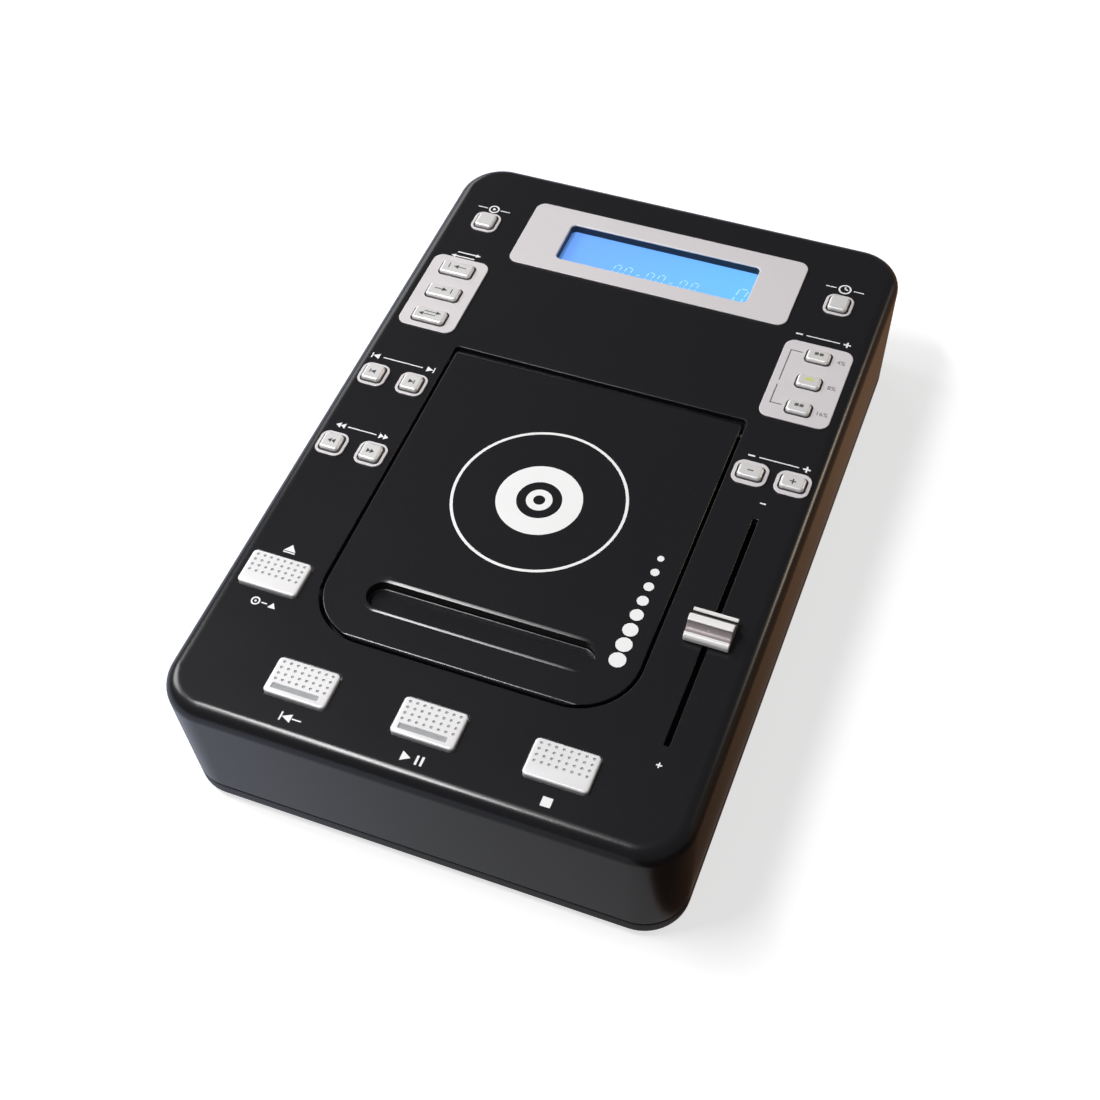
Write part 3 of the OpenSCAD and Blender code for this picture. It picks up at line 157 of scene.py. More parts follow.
print("node helpers ready")

# %% [markdown]
# A Mix node keeps a set of sockets for each kind of data, all with the same names, so its colour
# sockets are reached by number.

# %% Mixing two colours
COLOUR_A, COLOUR_B, COLOUR_OUT = 6, 7, 2


def mix_colour(tree, factor, first, second):
    inputs = {"Factor": factor, COLOUR_A: first, COLOUR_B: second}
    return add_node(tree, "ShaderNodeMix", inputs, data_type="RGBA").outputs[COLOUR_OUT]


print("colours mix in socket", COLOUR_A, "and", COLOUR_B)

# %% [markdown]
# ## Finishes as node groups
#
# Moulded plastic is never one flat colour. A fine spark-eroded grain breaks up its gloss, and
# handling leaves faint cloudy patches. Both effects are wanted in nearly every finish here, so they
# are a shader node group with named sockets, built once. It gives a colour factor, a roughness and a
# height. The group reads Object coordinates, because every piece keeps its object at the origin.


# %% Group for moulded grain
def new_group(name, inputs, outputs):
    group = bpy.data.node_groups.new(name, "ShaderNodeTree")
    for label, default in inputs:
        socket = group.interface.new_socket(name=label, in_out="INPUT", socket_type="NodeSocketFloat")
        socket.default_value = default
    for label in outputs:
        group.interface.new_socket(name=label, in_out="OUTPUT", socket_type="NodeSocketFloat")
    return group, group.nodes.new("NodeGroupInput").outputs, group.nodes.new("NodeGroupOutput").inputs


def put_out(group, given, wanted, pattern, relief):
    """A pattern round 0.5 sways the shade and the roughness, and the relief goes out as the height."""
    sway = math_node(group, "SUBTRACT", pattern, 0.5)
    shade = math_node(group, "MULTIPLY_ADD", sway, given["Tone"], 1.0)
    rough = math_node(group, "MULTIPLY_ADD", sway, given["Gloss Change"], given["Base Roughness"])
    for value, label in ((shade, "Shade"), (rough, "Roughness"), (relief, "Height")):
        join(group, value, wanted[label])


def build_moulded_grain():
    inputs = [("Grain Scale", 2500.0), ("Cloud Scale", 25.0), ("Tone", 0.1), ("Base Roughness", 0.4),
              ("Gloss Change", 0.08)]
    group, given, wanted = new_group("moulded_grain", inputs, ["Shade", "Roughness", "Height"])
    place = object_place(group)
    grain = noise(group, place, given["Grain Scale"], 3.0)
    cloud = noise(group, place, given["Cloud Scale"], 4.0)
    put_out(group, given, wanted, cloud, grain)
    return group


moulded_grain = build_moulded_grain()
print("group:", moulded_grain.name)

# %% [markdown]
# Brushed and drawn metal has fine parallel lines. The second group stretches a noise along X to draw
# them, and gives the same three outputs.

# %% Group for drawn metal lines
LINE_STRETCH = (0.02, 1.0, 1.0)


def build_drawn_lines():
    inputs = [("Fineness", 4000.0), ("Tone", 0.1), ("Base Roughness", 0.3), ("Gloss Change", 0.15)]
    group, given, wanted = new_group("drawn_lines", inputs, ["Shade", "Roughness", "Height"])
    stretch = add_node(group, "ShaderNodeVectorMath", {0: object_place(group), 1: LINE_STRETCH},
                       operation="MULTIPLY")
    lines = noise(group, stretch.outputs[0], given["Fineness"], 2.0)
    put_out(group, given, wanted, lines, lines)
    return group


drawn_lines = build_drawn_lines()
print("group:", drawn_lines.name)

# %% [markdown]
# Dust settles on faces that look up, in loose specks. The third group makes a mask from the normal
# and a sparse noise: only the highest peaks of the noise are kept, and they are steepened into specks.

# %% Group for settled dust
SPECK_PEAK, SPECK_STEEPNESS = 0.7, 14.0


def build_settled_dust():
    group, given, wanted = new_group("settled_dust", [("Amount", 0.3), ("Speck Scale", 900.0)], ["Mask"])
    pattern = noise(group, object_place(group), given["Speck Scale"], 1.0)
    peaks = math_node(group, "SUBTRACT", pattern, SPECK_PEAK)
    specks = math_node(group, "MULTIPLY", peaks, SPECK_STEEPNESS, clamp=True)
    facing = split_axes(group, add_node(group, "ShaderNodeNewGeometry").outputs["Normal"])
    upward = math_node(group, "MULTIPLY", facing["Z"], 1.0, clamp=True)
    mask = math_node(group, "MULTIPLY", specks, upward)
    join(group, math_node(group, "MULTIPLY", mask, given["Amount"]), wanted["Mask"])
    return group


settled_dust = build_settled_dust()
print("group:", settled_dust.name)

# %% [markdown]
# ## One recipe, many finishes
#
# `finish` puts a Principled BSDF in a new material and feeds it from one of the two surface groups.
# The numbers that stay the same all over the piece go straight on the shader's own sockets.
# `dust` mixes a little grey over the colour, and a given height paints everything under it black:
# painted shade on the inner walls of the display's frame.

# %% Material recipe
DUST_GREY = (0.45, 0.44, 0.42, 1.0)
INNER_WALL_SHADE = (0.012, 0.013, 0.02, 1.0)


def new_material(name):
    material = bpy.data.materials.new(name)
    material.use_nodes = True
    return material, material.node_tree, material.node_tree.nodes["Principled BSDF"]


def finish(name, colour, surface, rough, bump, metallic=0.0, bump_mm=0.05, dust=0.0, shade_below=None,
           values=(), **sockets):
    """values go to the surface group, and any further word names a socket of the shader."""
    material, tree, shader = new_material(name)
    shader.inputs["Metallic"].default_value = metallic
    for label, value in sockets.items():
        shader.inputs[label.replace("_", " ")].default_value = value
    look = add_node(tree, "ShaderNodeGroup", {"Base Roughness": rough, **dict(values)}, node_tree=surface)
    shaded = {0: colour, "Scale": look.outputs["Shade"]}
    colour_out = add_node(tree, "ShaderNodeVectorMath", shaded, operation="SCALE").outputs[0]
    if dust:
        specks = add_node(tree, "ShaderNodeGroup", {"Amount": dust}, node_tree=settled_dust)
        colour_out = mix_colour(tree, specks.outputs["Mask"], colour_out, DUST_GREY)
    # Painted shade: under the given height the colour turns black.
    if shade_below is not None:
        under = math_node(tree, "LESS_THAN", split_axes(tree, object_place(tree))["Z"], shade_below)
        colour_out = mix_colour(tree, under, colour_out, INNER_WALL_SHADE)
    relief = add_node(tree, "ShaderNodeBump", {"Strength": bump, "Distance": bump_mm * MM,
                                               "Height": look.outputs["Height"]})
    join(tree, colour_out, shader.inputs["Base Color"])
    join(tree, look.outputs["Roughness"], shader.inputs["Roughness"])
    join(tree, relief.outputs["Normal"], shader.inputs["Normal"])
    return material


SILVER = (0.76, 0.725, 0.74)
satin_black = finish("satin_black", (0.0105, 0.0105, 0.0125), moulded_grain, rough=0.24, bump=0.05,
                     dust=0.012, values={"Tone": 0.12, "Gloss Change": 0.04, "Grain Scale": 3200.0})
pan_black = finish("pan_black", (0.013, 0.013, 0.0145), moulded_grain, rough=0.42, bump=0.12,
                   values={"Tone": 0.2})
well_black = finish("well_black", (0.016, 0.016, 0.0175), moulded_grain, rough=0.45, bump=0.2, dust=0.05,
                    values={"Tone": 0.15})
silver_paint = finish("silver_paint", SILVER, moulded_grain, rough=0.38, bump=0.04, metallic=0.12,
                      values={"Tone": 0.04, "Grain Scale": 5000.0})
button_silver = finish("button_silver", (0.93, 0.915, 0.91), moulded_grain, rough=0.3, bump=0.04,
                       metallic=0.35, values={"Tone": 0.05})
key_silver = finish("key_silver", (0.9, 0.89, 0.905), moulded_grain, rough=0.33, bump=0.04, metallic=0.15,
                    values={"Tone": 0.04})
knob_metal = finish("knob_metal", (0.96, 0.945, 0.94), drawn_lines, rough=0.3, bump=0.04, metallic=0.12,
                    values={"Tone": 0.06, "Gloss Change": 0.1})
print("finishes:", len(bpy.data.materials))

# %% [markdown]
# The pieces inside are seen when the lid is open, and those at the rear and underneath when the
# player is turned round. They are rubber, plated and turned metal, sheet steel with textured paint,
# plain resin and green boards.

# %% Finishes for the inside
foot_rubber = finish("foot_rubber", (0.02, 0.02, 0.02), moulded_grain, rough=0.75, bump=0.4,
                     values={"Grain Scale": 900.0})
plated_steel = finish("plated_steel", (0.62, 0.62, 0.64), drawn_lines, rough=0.28, bump=0.08, metallic=1.0)
ground_steel = finish("ground_steel", (0.7, 0.7, 0.72), drawn_lines, rough=0.16, bump=0.03, metallic=1.0)
black_steel = finish("black_steel", (0.03, 0.03, 0.03), moulded_grain, rough=0.45, bump=0.3, metallic=0.3,
                     values={"Grain Scale": 1200.0})
bay_paint = finish("bay_paint", (0.05, 0.05, 0.052), moulded_grain, rough=0.55, bump=0.5, dust=0.1,
                   values={"Grain Scale": 1400.0})
natural_resin = finish("natural_resin", (0.78, 0.77, 0.7), moulded_grain, rough=0.4, bump=0.05,
                       values={"Tone": 0.06}, Subsurface_Weight=0.1)
turned_brass = finish("turned_brass", (0.78, 0.58, 0.25), drawn_lines, rough=0.25, bump=0.05, metallic=1.0)
frame_resin = finish("frame_resin", (0.035, 0.035, 0.037), moulded_grain, rough=0.5, bump=0.3)
solder_mask = finish("solder_mask", (0.015, 0.11, 0.045), moulded_grain, rough=0.35, bump=0.1,
                     values={"Cloud Scale": 180.0, "Tone": 0.4})
switch_resin = finish("switch_resin", (0.02, 0.02, 0.021), moulded_grain, rough=0.45, bump=0.1)
laminated_iron = finish("laminated_iron", (0.16, 0.15, 0.15), drawn_lines, rough=0.45, bump=0.5, metallic=0.8,
                        bump_mm=0.2, values={"Fineness": 1600.0, "Tone": 0.35})
socket_black = finish("socket_black", (0.014, 0.014, 0.015), moulded_grain, rough=0.3, bump=0.06)
jack_chrome = finish("jack_chrome", (0.75, 0.74, 0.72), drawn_lines, rough=0.18, bump=0.03, metallic=1.0)
lens_coat = finish("lens_coat", (0.022, 0.012, 0.085), moulded_grain, rough=0.04, bump=0.0, Coat_Weight=1.0)
white_print = finish("white_print", (0.9, 0.9, 0.9), moulded_grain, rough=0.45, bump=0.05)
dark_print = finish("dark_print", (0.05, 0.05, 0.055), moulded_grain, rough=0.5, bump=0.05)
print("finishes:", len(bpy.data.materials))

# %% [markdown]
# ## Softening a CAD solid
#
# No moulded or pressed edge is perfectly sharp, and a sharp one shows no highlight, which is what
# makes plain CAD look like a drawing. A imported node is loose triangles, so `soften` works on a copy:
# it merges the doubles, joins flat triangles into whole faces, and lets a Bevel modifier round every
# edge that turns more than 35 degrees. Blender's own overlap clamp shrinks every rounding to suit the
# tightest spot of the piece, so it stays off. Instead each edge gets its own weight: `edge_room`
# measures how far the two faces beside it reach before they meet something, and narrow spots get a
# small rounding while open ones keep the full one. A Weighted Normal modifier then keeps the large
# faces flat in shading. All is applied through `new_from_object`, so the piece ends as a plain mesh.

# %% Welding and applying
WELD_REACH = 2e-6
FLAT_DEGREES = 0.6


def link_piece(name, data):
    piece = bpy.data.objects.new(name, data)
    bpy.context.scene.collection.objects.link(piece)
    return piece


def paint(mesh, material):
    mesh.materials.clear()
    mesh.materials.append(material)


def mesh_from(work, name):
    mesh = bpy.data.meshes.new(name)
    work.to_mesh(mesh)
    work.free()
    return mesh


def plain_mesh(piece):
    """Apply the modifiers, so that the piece keeps only what they made."""
    depsgraph = bpy.context.evaluated_depsgraph_get()
    mesh = bpy.data.meshes.new_from_object(piece.evaluated_get(depsgraph))
    mesh.name = piece.name
    old = piece.data
    piece.modifiers.clear()
    piece.data = mesh
    bpy.data.meshes.remove(old)


def weld(work):
    bmesh.ops.remove_doubles(work, verts=work.verts, dist=WELD_REACH)
    bmesh.ops.dissolve_degenerate(work, edges=work.edges, dist=WELD_REACH / 2)
    bmesh.ops.dissolve_limit(work, angle_limit=math.radians(FLAT_DEGREES), verts=work.verts, edges=work.edges)


def surface_of(mesh):
    """The faces of a mesh, ready to be asked for the nearest point or the first hit."""
    work = bmesh.new()
    work.from_mesh(mesh)
    surface = BVHTree.FromBMesh(work)
    work.free()
    return surface


print("flat means within", FLAT_DEGREES, "degrees")

# %% [markdown]
# The room beside an edge has two limits. The edges that meet it at its ends must stay long enough,
# and the faces on both sides must reach far enough, which a few trial points on them show.

# %% Room beside an edge
SHARP_DEGREES = 35
TRIAL_SHARES = (1.0, 0.7, 0.5, 0.35, 0.2, 0.1)
LENGTH_SHARE = 0.45
TRIAL_REACH = 2.1
ON_SURFACE = 0.02 * MM
RUNS_ON, NARROW = -0.7, 0.5


def room_at_ends(edge, sharp, room):
    for corner in edge.verts:
        here = (edge.other_vert(corner).co - corner.co).normalized()
        for other in corner.link_edges:
            if other is edge:
                continue
            there = (other.other_vert(corner).co - corner.co).normalized()
            if other in sharp and here.dot(there) < RUNS_ON:
                continue
            room = min(room, LENGTH_SHARE * other.calc_length())
            if other in sharp and here.dot(there) > NARROW:
                room *= 1.2 - here.dot(there)
    return room


def edge_room(edge, sharp, surface, wanted):
    """Share of the wanted rounding, 0 to 1, that fits at this edge."""
    room = room_at_ends(edge, sharp, wanted)
    for loop in edge.link_loops:
        along = (loop.link_loop_next.vert.co - loop.vert.co).normalized()
        inward = loop.face.normal.cross(along)
        halfway = (edge.verts[0].co + edge.verts[1].co) / 2
        for share in TRIAL_SHARES:
            if share * wanted > room and share > TRIAL_SHARES[-1]:
                continue
            trial = halfway + inward * (TRIAL_REACH * share * wanted)
            _, normal, _, distance = surface.find_nearest(trial)
            if distance < ON_SURFACE and normal.dot(loop.face.normal) > 0.7:
                break
        else:
            share = 0.0
        room = min(room, share * wanted)
    return room / wanted


def weigh_edges(work, wanted):
    layer = work.edges.layers.float.new("bevel_weight_edge")
    turn = math.radians(SHARP_DEGREES)
    sharp = {e for e in work.edges if len(e.link_faces) == 2 and e.calc_face_angle(0) > turn}
    surface = BVHTree.FromBMesh(work)
    for edge in sharp:
        edge[layer] = edge_room(edge, sharp, surface, wanted)


print("an edge is sharp above", SHARP_DEGREES, "degrees")

# %% [markdown]
# A flat area with many openings is one face with seams that run from hole to hole. The bevel moves
# the rims of the holes and can fold the area at such a seam, which shows as a dark streak. Where the
# triangles of an area add up to more than its outline holds, `refill_flats` draws it anew, and
# `level_normals` gives it the shading of one flat face in spite of its thin triangles.

# %% Flat areas with holes
SAME_PLANE = 0.99999
LEVEL_ERROR = 0.005 * MM
LARGE_FACE = 20.0 * MM * MM
FOLDED = 1.0002
FILL_ERROR = 0.001
FEWEST_CORNERS = 6


def flat_group(start):
    """The faces in one plane with this one, joined through their edges."""
    normal, level = start.normal.copy(), start.verts[0].co.dot(start.normal)
    group, front = {start}, [start]
    while front:
        for edge in front.pop().edges:
            for other in edge.link_faces:
                if other not in group and abs(other.normal.dot(normal)) > SAME_PLANE and all(
                        abs(v.co.dot(normal) - level) < LEVEL_ERROR for v in other.verts):
                    group.add(other)
                    front.append(other)
    return group, normal


def level_corners(work):
    """Bring the corners of each large face back into its plane."""
    for face in work.faces:
        if face.calc_area() > LARGE_FACE:
            level = float(np.median([v.co.dot(face.normal) for v in face.verts]))
            for v in face.verts:
                off = level - v.co.dot(face.normal)
                if LEVEL_ERROR < abs(off) < 1 * MM:
                    v.co += face.normal * off
    work.normal_update()


def triangle_areas(work):
    areas = {}
    for loops in work.calc_loop_triangles():
        a, b, c = (loop.vert.co for loop in loops)
        face = loops[0].face
        areas[face] = areas.get(face, 0.0) + (b - a).cross(c - a).length / 2
    return areas


def outline_area(group, normal):
    total = Vector()
    for face in group:
        for loop in face.loops:
            total += loop.vert.co.cross(loop.link_loop_next.vert.co) / 2
    return abs(total.dot(normal))


print("faces above", round(LARGE_FACE / MM / MM), "square mm are brought level")

# %% [markdown]
# A folded area loses its faces, and its outline is filled again with triangles. Should the new
# triangles not cover the area exactly, the filling has failed and the old faces come back.


# %% Draw a flat area anew
def fill_anew(work, group, normal, area):
    """Replace the faces of a flat area and return what now covers it."""
    rim = [e for face in group for e in face.edges if sum(f in group for f in e.link_faces) == 1]
    seams = {e for face in group for e in face.edges} - set(rim)
    corners = [list(face.verts) for face in group]
    bmesh.ops.delete(work, geom=list(group), context="FACES_ONLY")
    filled = bmesh.ops.triangle_fill(work, use_beauty=True, edges=rim, normal=normal)["geom"]
    faces = [f for f in filled if isinstance(f, bmesh.types.BMFace)]
    edges = {e for e in filled if isinstance(e, bmesh.types.BMEdge)}
    failed = abs(sum(f.calc_area() for f in faces) - area) > FILL_ERROR * area
    if failed:
        bmesh.ops.delete(work, geom=faces, context="FACES_ONLY")
    loose = [e for e in edges | seams if e.is_valid and not e.link_faces]
    bmesh.ops.delete(work, geom=loose, context="EDGES")
    return [work.faces.new(row) for row in corners] if failed else faces


def refill_flats(mesh):
    work = bmesh.new()
    work.from_mesh(mesh)
    is_flat = work.faces.layers.int.new("flat")
    level_corners(work)
    areas = triangle_areas(work)
    seen = set()
    for start in list(work.faces):
        if not start.is_valid or start in seen or len(start.verts) < FEWEST_CORNERS:
            continue
        group, normal = flat_group(start)
        seen |= group
        area = outline_area(group, normal)
        if sum(areas[face] for face in group) < FOLDED * area + 1e-9:
            continue
        for face in fill_anew(work, group, normal, area):
            face.smooth = True
            face[is_flat] = 1
            if face.normal.dot(normal) < 0:
                face.normal_flip()
    work.to_mesh(mesh)
    work.free()


def level_normals(mesh):
    flags = mesh.attributes.get("flat")
    if flags is None:
        return
    flat_at = {}
    for face in mesh.polygons:
        if flags.data[face.index].value:
            for index in face.vertices:
                flat_at.setdefault(index, []).append(face.normal.copy())
    normals = [corner.vector.copy() for corner in mesh.corner_normals]
    for loop in mesh.loops:
        for normal in flat_at.get(loop.vertex_index, ()):
            if normals[loop.index].dot(normal) > 0.8:
                normals[loop.index] = normal
    mesh.normals_split_custom_set(normals)
    mesh.attributes.remove(flags)


print("areas above", FOLDED, "times their outline are drawn anew")

# %% [markdown]
# Now the steps come together. At the end `pull_back` keeps every corner within the solid: a rounding
# that slipped outwards in a tight corner goes back to the nearest point of the solid's surface.

# %% Soften a node
SLIP_SHARE = 0.7


def pull_back(mesh, solid, reach):
    """A rounded corner never leaves the solid it came from."""
    surface = surface_of(solid)
    low = [min(v.co[i] for v in solid.vertices) for i in range(3)]
    high = [max(v.co[i] for v in solid.vertices) for i in range(3)]
    for vertex in mesh.vertices:
        spot, _, _, distance = surface.find_nearest(vertex.co)
        if distance > reach:
            vertex.co = spot
        vertex.co = [min(max(vertex.co[i], low[i]), high[i]) for i in range(3)]


def soften(node, material, round_mm, segments, name=None):
    mesh = nodes[node].data.copy()
    work = bmesh.new()
    work.from_mesh(mesh)
    weld(work)
    weigh_edges(work, round_mm * MM)
    work.to_mesh(mesh)
    work.free()
    piece = link_piece(name or node + "_skin", mesh)
    paint(mesh, material)
    mesh.shade_smooth()
    bevel = piece.modifiers.new("round", "BEVEL")
    bevel.width = round_mm * MM
    bevel.segments = segments
    bevel.limit_method = "WEIGHT"
    bevel.miter_outer = "MITER_ARC"
    bevel.use_clamp_overlap = False
    plain_mesh(piece)
    refill_flats(piece.data)
    piece.modifiers.new("weighted", "WEIGHTED_NORMAL").keep_sharp = True
    plain_mesh(piece)
    level_normals(piece.data)
    pull_back(piece.data, nodes[node].data, SLIP_SHARE * round_mm * MM + ON_SURFACE)
    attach(piece, body_of_node[node])
    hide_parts(node)
    return piece


cover = soften("top_cover", satin_black, 0.35, 3, name="case_cover")
print("case_cover:", len(cover.data.polygons), "faces")

# %% [markdown]
# ## Case, lid and plates
#
# The pan, the lid and the silver trim get the same treatment. The lid's edge has a larger radius
# than the openings, and the plates have a soft press-formed edge. The display's frame is silver only
# above the case: below that, its inner walls are painted black as shade, so that the glass seems to
# lie deep.

# %% Soften the visible trim
soften("bottom_pan", pan_black, 0.25, 2, name="case_pan")
soften("disc_lid", satin_black, 0.6, 4, name="lid_panel")
# The frame's inner walls under the case top get painted shade in black.
frame_paint_wall_shade = finish("frame_paint_wall_shade", SILVER, moulded_grain, rough=0.38, bump=0.04, metallic=0.12,
                     shade_below=CASE_TOP + 0.1 * MM, values={"Tone": 0.04, "Grain Scale": 5000.0})
soften("display_bezel", frame_paint_wall_shade, 0.6, 4)
for node in ("loop_plate", "pitch_plate"):
    soften(node, silver_paint, 0.5, 4)
soften("button_rings", silver_paint, 0.4, 3)
for node in BUTTONS:
    soften(node, button_silver, 1.2, 5)
print("trim pieces done")

# %% [markdown]
# Two trim pieces are drawn as a section and carried along a path. The finger recess has a low soft
# rim, whose front slopes catch the light as two lines. The fader's knob is a bar with a tall ridge
# between two lips and a groove behind the ridge, painted black as shade. `loft` puts a skin over
# rows of points, and `carry` sets a section up along a path and scales it on the way.


# %% Skin over rows of points
def loft(name, rows, materials, finishes=None, closed=False):
    """rows: rings of points in mm. A closed path joins the last row to the first, an open one gets ends."""
    work = bmesh.new()
    rings = [[work.verts.new(Vector(p) * MM) for p in row] for row in rows]
    count = len(rows[0])
    for ring, ahead in zip(rings, rings[1:] + (rings[:1] if closed else [])):
        for i in range(count):
            j = (i + 1) % count
            face = work.faces.new((ring[i], ring[j], ahead[j], ahead[i]))
            face.material_index = finishes[i] if finishes else 0
    if not closed:
        for ring in (rings[0], rings[-1]):
            work.faces.new(ring).material_index = len(materials) // 2
    bmesh.ops.recalc_face_normals(work, faces=work.faces)
    mesh = mesh_from(work, name)
    for material in materials:
        mesh.materials.append(material)
    mesh.shade_smooth()
    mesh.set_sharp_from_angle(angle=math.radians(30))
    return link_piece(name, mesh)


def ride_on(piece, body):
    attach(piece, body)


def carry(profile, path, z, size):
    """Rows of a profile of (across, up) points in mm along a closed path, scaled by size(x, y)."""
    rows = []
    for index, (x, y) in enumerate(path):
        before, after = Vector(path[index - 1]), Vector(path[(index + 1) % len(path)])
        along = (after - before).normalized()
        wide, high = size(x, y)
        rows.append([(x + along.y * a * wide, y - along.x * a * wide, z + b * high) for a, b in profile])
    return rows


def stadium(length, width, y):
    """Points of a long round-ended outline, 20 round each end and 22 along each side."""
    half = (length - width) / 2
    points = []
    for side, start in ((1, -90), (-1, 90)):
        points += [(side * half + width / 2 * math.cos(a), y + width / 2 * math.sin(a))
                   for a in np.radians(np.linspace(start, start + 180, 20))]
        points += [(side * half * (1 - 2 * t), y + side * width / 2) for t in np.linspace(0, 1, 24)[1:-1]]
    return points


print("a stadium has", len(stadium(10, 4, 0)), "points")

# %% [markdown]
# The rim runs round the recess that a finger lifts the lid by. It is widest along the rear side,
# narrower in front, and flattens out before the round ends.

# %% Rim of the finger recess
GRIP_LENGTH, GRIP_WIDTH, GRIP_Y = 101.0, 13.4, -95.05
RIM_REAR, RIM_FRONT = 1.2, 0.8
RIM_FADE, RIM_LEAST = 6.0, 0.03
rim_profile = [(0.0, -0.1), (0.0, 0.0), (0.95, 0.35), (1.2, 0.4), (1.45, 0.35), (2.4, 0.0), (2.4, -0.1)]


def rim_size(x, y):
    wide = RIM_REAR if y > GRIP_Y else RIM_FRONT
    to_end = min(max((GRIP_LENGTH / 2 - 2.0 - abs(x)) / RIM_FADE, 0.0), 1.0)
    return wide, wide * (RIM_LEAST + (1 - RIM_LEAST) * to_end)


rim_rows = carry(rim_profile, stadium(GRIP_LENGTH, GRIP_WIDTH, GRIP_Y), CASE_TOP / MM, rim_size)
rim = loft("recess_rim", rim_rows, [satin_black], closed=True)
ride_on(rim, "lid")
print("rim:", len(rim.data.polygons), "faces")

# %% [markdown]
# The knob's section is made of strips, each with its own finish: bright lips and ridge in the plain
# metal, hollow flanks between them in a darker, pinkish copy of the metal as painted shade and
# painted reflection, and the groove painted black as shade. Its place and size are read from the
# plain knob that it replaces, and its two ends are drawn in a little, as broken edges.

# %% Section of the fader's knob
# Painted shade and painted reflection: the hollow flanks get a darker, pinkish copy of the knob's metal.
knob_flank_shade = finish("knob_flank_shade", (0.46, 0.4, 0.405), drawn_lines, rough=0.25, bump=0.04, metallic=0.45,
                    values={"Tone": 0.08})
# Painted shade: a black finish for the groove behind the knob's ridge and for the gaps round the small
# buttons.
painted_shade_black = finish("painted_shade_black", (0.016, 0.016, 0.018), moulded_grain, rough=0.6, bump=0.1)
low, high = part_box("fader_knob")
knob_middle, knob_foot = (low + high) / 2 / MM, low.z / MM
half_deep, tall = (high.y - low.y) / 2 / MM, (high.z - low.z) / MM
# Finishes of the strips: the plain metal, the painted shade of the flanks, and the painted shade of the
# groove.
LIP_HIGH, RIDGE, FLANK_END, BRIGHT, FLANK_SHADE, GROOVE_SHADE = 3.5, 1.75, 5.35, 0, 1, 2


def flank(side, angles):
    return [(side * (RIDGE + (FLANK_END - RIDGE) * (1 - math.cos(a))), tall - (tall - LIP_HIGH) * math.sin(a))
            for a in np.radians(angles)]


front_lip = [(-half_deep + 1.75 * (1 - math.cos(a)), 1.5 + 2.0 * math.sin(a))
             for a in np.radians(range(0, 91, 15))]
front_side = [(-1.8, tall - 0.5), (-1.65, tall - 0.15), (-1.35, tall)]
rear_side = [(-y, z) for y, z in reversed(front_side)]
rear_lip = [(5.75, 3.1), (6.1, 3.5), (7.0, 3.5), (7.45, 3.3), (half_deep, 2.9), (half_deep, 0.3),
            (half_deep - 0.3, 0.0)]
strips = [(BRIGHT, [(-half_deep + 0.3, 0.0), (-half_deep, 0.3)] + front_lip),
          (FLANK_SHADE, flank(-1, range(90, 15, -12))), (BRIGHT, front_side + rear_side),
          (FLANK_SHADE, flank(1, range(20, 69, 12))), (GROOVE_SHADE, [(4.0, 3.6), (4.0, 2.2), (5.75, 2.2)]),
          (BRIGHT, rear_lip)]
section = [point for _, points in strips for point in points]
section_finish = [index for index, points in strips for _ in points]
print("section:", len(section), "points")

# %% [markdown]
# The section stands at four places along the knob: drawn in at both ends, and full just inside them.


# %% Fader knob
def shrunk(points, by):
    """The section drawn in a little, for the broken edges at the ends."""
    inner = []
    for i, (y, z) in enumerate(points):
        (y0, z0), (y1, z1) = points[i - 1], points[(i + 1) % len(points)]
        long = math.hypot(y1 - y0, z1 - z0)
        inner.append((y + by * (z1 - z0) / long, z - by * (y1 - y0) / long))
    return inner


def knob_row(x, points):
    return [(x, knob_middle.y + y, knob_foot + z) for y, z in points]


EDGE = 0.3
left_end, right_end = low.x / MM, high.x / MM
knob_rows = [knob_row(left_end, shrunk(section, EDGE)), knob_row(left_end + EDGE, section),
             knob_row(right_end - EDGE, section), knob_row(right_end, shrunk(section, EDGE))]
knob = loft("knob", knob_rows, [knob_metal, knob_flank_shade, painted_shade_black], section_finish)
ride_on(knob, "fader")
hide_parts("fader_knob")
print("knob:", len(knob.data.polygons), "faces")

# %% [markdown]
# What lies inside, behind and underneath is softened in one go from a list. Thin sheet and boards get
# a small rounding, rubber and turned parts a larger one.

